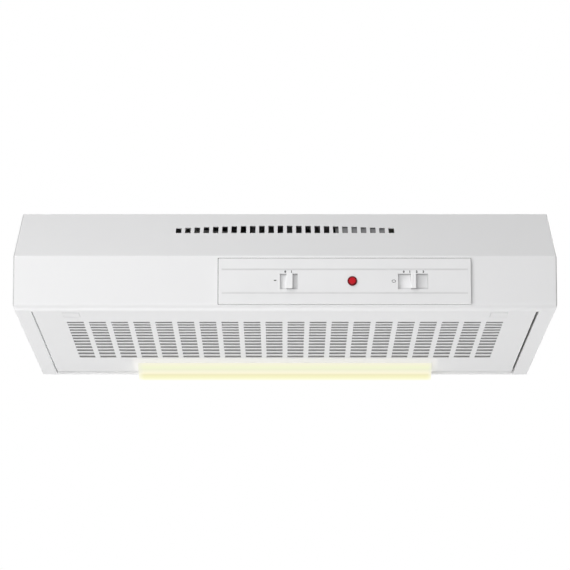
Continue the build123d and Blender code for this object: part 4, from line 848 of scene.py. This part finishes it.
tray_enamel = enamel("tray_enamel", (0.84, 0.84, 0.83), 0.30)[0]
dress(tray_enamel, "lamp_tray")
dress(plated("bracket_plate", (0.68, 0.69, 0.71), 0.30, (1, 6, 1)), "lamp_brackets")
dress(moulded("holder_white", (0.80, 0.80, 0.79), 0.38), "lamp_holders")
ballast_finish, ballast_shader, ballast_place = new_finish("ballast_core_and_coil")
ballast_low, ballast_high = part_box("lamp_ballast")
ballast_x = axes(ballast_place)[0]
coil_ends = at_ends(ballast_x, ballast_low.x, ballast_high.x, 0.013, 0.012)
wire(
    ballast_shader,
    Base_Color=blend(coil_ends, (0.30, 0.31, 0.32, 1), (0.06, 0.06, 0.065, 1)),
    Metallic=0.7 - 0.7 * coil_ends,
    Roughness=0.42 + 0.1 * noise(ballast_place, 300, 3),
    Normal=bump((1 - coil_ends) * waves(ballast_x, 0.0008), 0.2, 0.0002),
)
dress(ballast_finish, "lamp_ballast")

tube_glass, tube_shader, tube_place = new_finish("tube_glass")
tube_low, tube_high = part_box("lamp_tube")
tube_ends = at_ends(axes(tube_place)[0], tube_low.x, tube_high.x, 0.022, 0.004)
wire(
    tube_shader,
    Base_Color=blend(tube_ends, (0.82, 0.82, 0.78, 1), (0.40, 0.38, 0.33, 1)),
    Roughness=0.15,
    Emission_Color=blend(tube_ends, (1.0, 0.95, 0.76, 1), (0.55, 0.40, 0.22, 1)),
    Emission_Strength=1.4,
)
dress(tube_glass, "lamp_tube")
dress(plated("cap_aluminium", (0.74, 0.74, 0.76), 0.25, (1, 6, 6)), "tube_caps")

lens_plastic, lens_shader, lens_place = new_finish("lamp_lens_plastic")
lens_low, lens_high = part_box("lamp_lens")
lens_x, _, lens_z = axes(lens_place)
lens_foot, lens_seat = -0.0125, 0.0035
drop = lens_z.add(
    "ShaderNodeMapRange", None, {"Value": lens_z, "From Min": lens_foot, "From Max": lens_seat}
)
warmth = drop.add(
    "ShaderNodeValToRGB",
    {
        "stops": (
            (0.0, (0.90, 0.90, 0.68, 1)),
            (0.04, (0.88, 0.87, 0.57, 1)),
            (0.14, (0.86, 0.83, 0.50, 1)),
            (0.22, (0.82, 0.78, 0.50, 1)),
            (0.31, (0.93, 0.88, 0.65, 1)),
            (0.41, (0.89, 0.87, 0.67, 1)),
            (0.53, (0.82, 0.83, 0.61, 1)),
            (0.66, (0.84, 0.87, 0.61, 1)),
            (0.80, (0.87, 0.86, 0.64, 1)),
            (1.0, (0.86, 0.84, 0.71, 1)),
        )
    },
    {0: drop},
)
left_end = ramp(lens_x, lens_low.x + 0.014, lens_low.x)
right_end = ramp(lens_x, lens_high.x - 0.012, lens_high.x)
lens_above = ramp(lens_z, -0.0085, -0.0065)
end_glow = blend(lens_above, (0.97, 0.97, 0.93, 1), (0.80, 0.80, 0.75, 1))
prisms = waves(lens_x, 0.0024)
wire(
    lens_shader,
    Base_Color=(0.025, 0.025, 0.02, 1),
    Roughness=0.40 + 0.1 * noise(lens_place, 300, 2),
    Emission_Color=blend(left_end.most(right_end), warmth, end_glow),
    Emission_Strength=1.0,
    Specular_IOR_Level=0.12,
    Normal=bump(0.3 * prisms + noise(lens_place, 600, 2), 0.08, 0.0002),
)
dress(lens_plastic, "lamp_lens")

# Filter panel. The same enamelled sheet, pierced with thirteen rows of slots and hinged at the
# rear, with the lamp's warm light painted on beside the lens as a faint glow. Two sprung white
# latches with a finger plate hold its front edge.
panel_enamel, panel_shader, panel_place = enamel("panel_enamel", (0.79, 0.79, 0.795), 0.42)
panel_x, panel_y, _ = axes(panel_place)
# Painted light: a warm glow in the panel's emission beside the lamp's lens.
glow_far, glow_near, glow_soft = 0.044, 0.018, 0.004
painted_lamp_glow = ramp(panel_y, lens_low.y - glow_far, lens_low.y - glow_near)
for lens_end, outwards in ((lens_low.x, -glow_soft), (lens_high.x, glow_soft)):
    painted_lamp_glow = painted_lamp_glow * ramp(panel_x, lens_end + outwards, lens_end - outwards)
painted_warm_light = blend(painted_lamp_glow, (0, 0, 0, 1), (0.095, 0.086, 0.070, 1))
wire(panel_shader, Emission_Color=painted_warm_light, Emission_Strength=1.0)
dress(panel_enamel, "filter_panel")
latch_white = moulded("latch_white_plastic", (0.80, 0.80, 0.805), 0.40)
dress(latch_white, "left_latch", "right_latch")
dress(plated("bright_wire", (0.72, 0.72, 0.73), 0.22, (1, 20, 1)), "filter_wires")

# Grease filter. A loose mat of grey synthetic fibre, laid on the panel and seen through its
# slots, held down by the wires. It is dark grey, with the lamp's warm light painted on as a
# lighter, warmer tone near the lamp.
fibre, fibre_shader, fibre_place = new_finish("filter_fibre")
low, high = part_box("grease_filter")
strands = fibre_place.add(
    "ShaderNodeTexVoronoi",
    {"feature": "DISTANCE_TO_EDGE"},
    {"Vector": fibre_place, "Scale": 420.0},
)
tufts = noise(fibre_place, 260, 5, 0.7)
# Painted light: the fibre turns lighter and warmer towards the lamp.
painted_lamp_light = ramp(axes(fibre_place)[1], high.y - 0.045, high.y)
wire(
    fibre_shader,
    Base_Color=blend(
        painted_lamp_light,
        blend(tufts, (0.15, 0.15, 0.148, 1), (0.27, 0.27, 0.265, 1)),
        blend(tufts, (0.24, 0.24, 0.20, 1), (0.40, 0.40, 0.34, 1)),
    ),
    Roughness=0.95,
    Normal=bump(strands, 0.6, 0.001),
)
pad = bmesh.new()
across, along = 90, 54
ripple_high, rim_rise, rim_drop = 0.0003, 0.0008, 0.0022
grid = {}
for side in (0, 1):
    for i in range(across + 1):
        for j in range(along + 1):
            x = low.x + (high.x - low.x) * i / across
            y = low.y + (high.y - low.y) * j / along
            at_rim = i in (0, across) or j in (0, along)
            if side:
                ripple = ripple_high * sin(i * 2.1 + 3 * sin(j * 0.7))
                ripple += ripple_high * sin(j * 1.7 + 2 * sin(i * 0.4))
                z = high.z - 0.0008 + ripple - (rim_drop if at_rim else 0)
            else:
                z = low.z + (rim_rise if at_rim else 0)
            grid[side, i, j] = pad.verts.new((x, y, z))
for i in range(across):
    for j in range(along):
        top_round = ((i, j), (i + 1, j), (i + 1, j + 1), (i, j + 1))
        bottom_round = ((i, j), (i, j + 1), (i + 1, j + 1), (i + 1, j))
        pad.faces.new([grid[(1, *corner)] for corner in top_round])
        pad.faces.new([grid[(0, *corner)] for corner in bottom_round])
rim = [(i, 0) for i in range(across)] + [(across, j) for j in range(along)]
rim += [(i, along) for i in range(across, 0, -1)] + [(0, j) for j in range(along, 0, -1)]
low_rim, high_rim = ([grid[(side, *corner)] for corner in rim] for side in (0, 1))
ring_of_faces(pad, low_rim, high_rim)
bmesh.ops.recalc_face_normals(pad, faces=pad.faces)
fibre_mat = new_piece("fibre_mat", pad, fibre)
for side in fibre_mat.data.polygons:
    side.use_smooth = True
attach(fibre_mat, "filter_panel")
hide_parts("grease_filter")
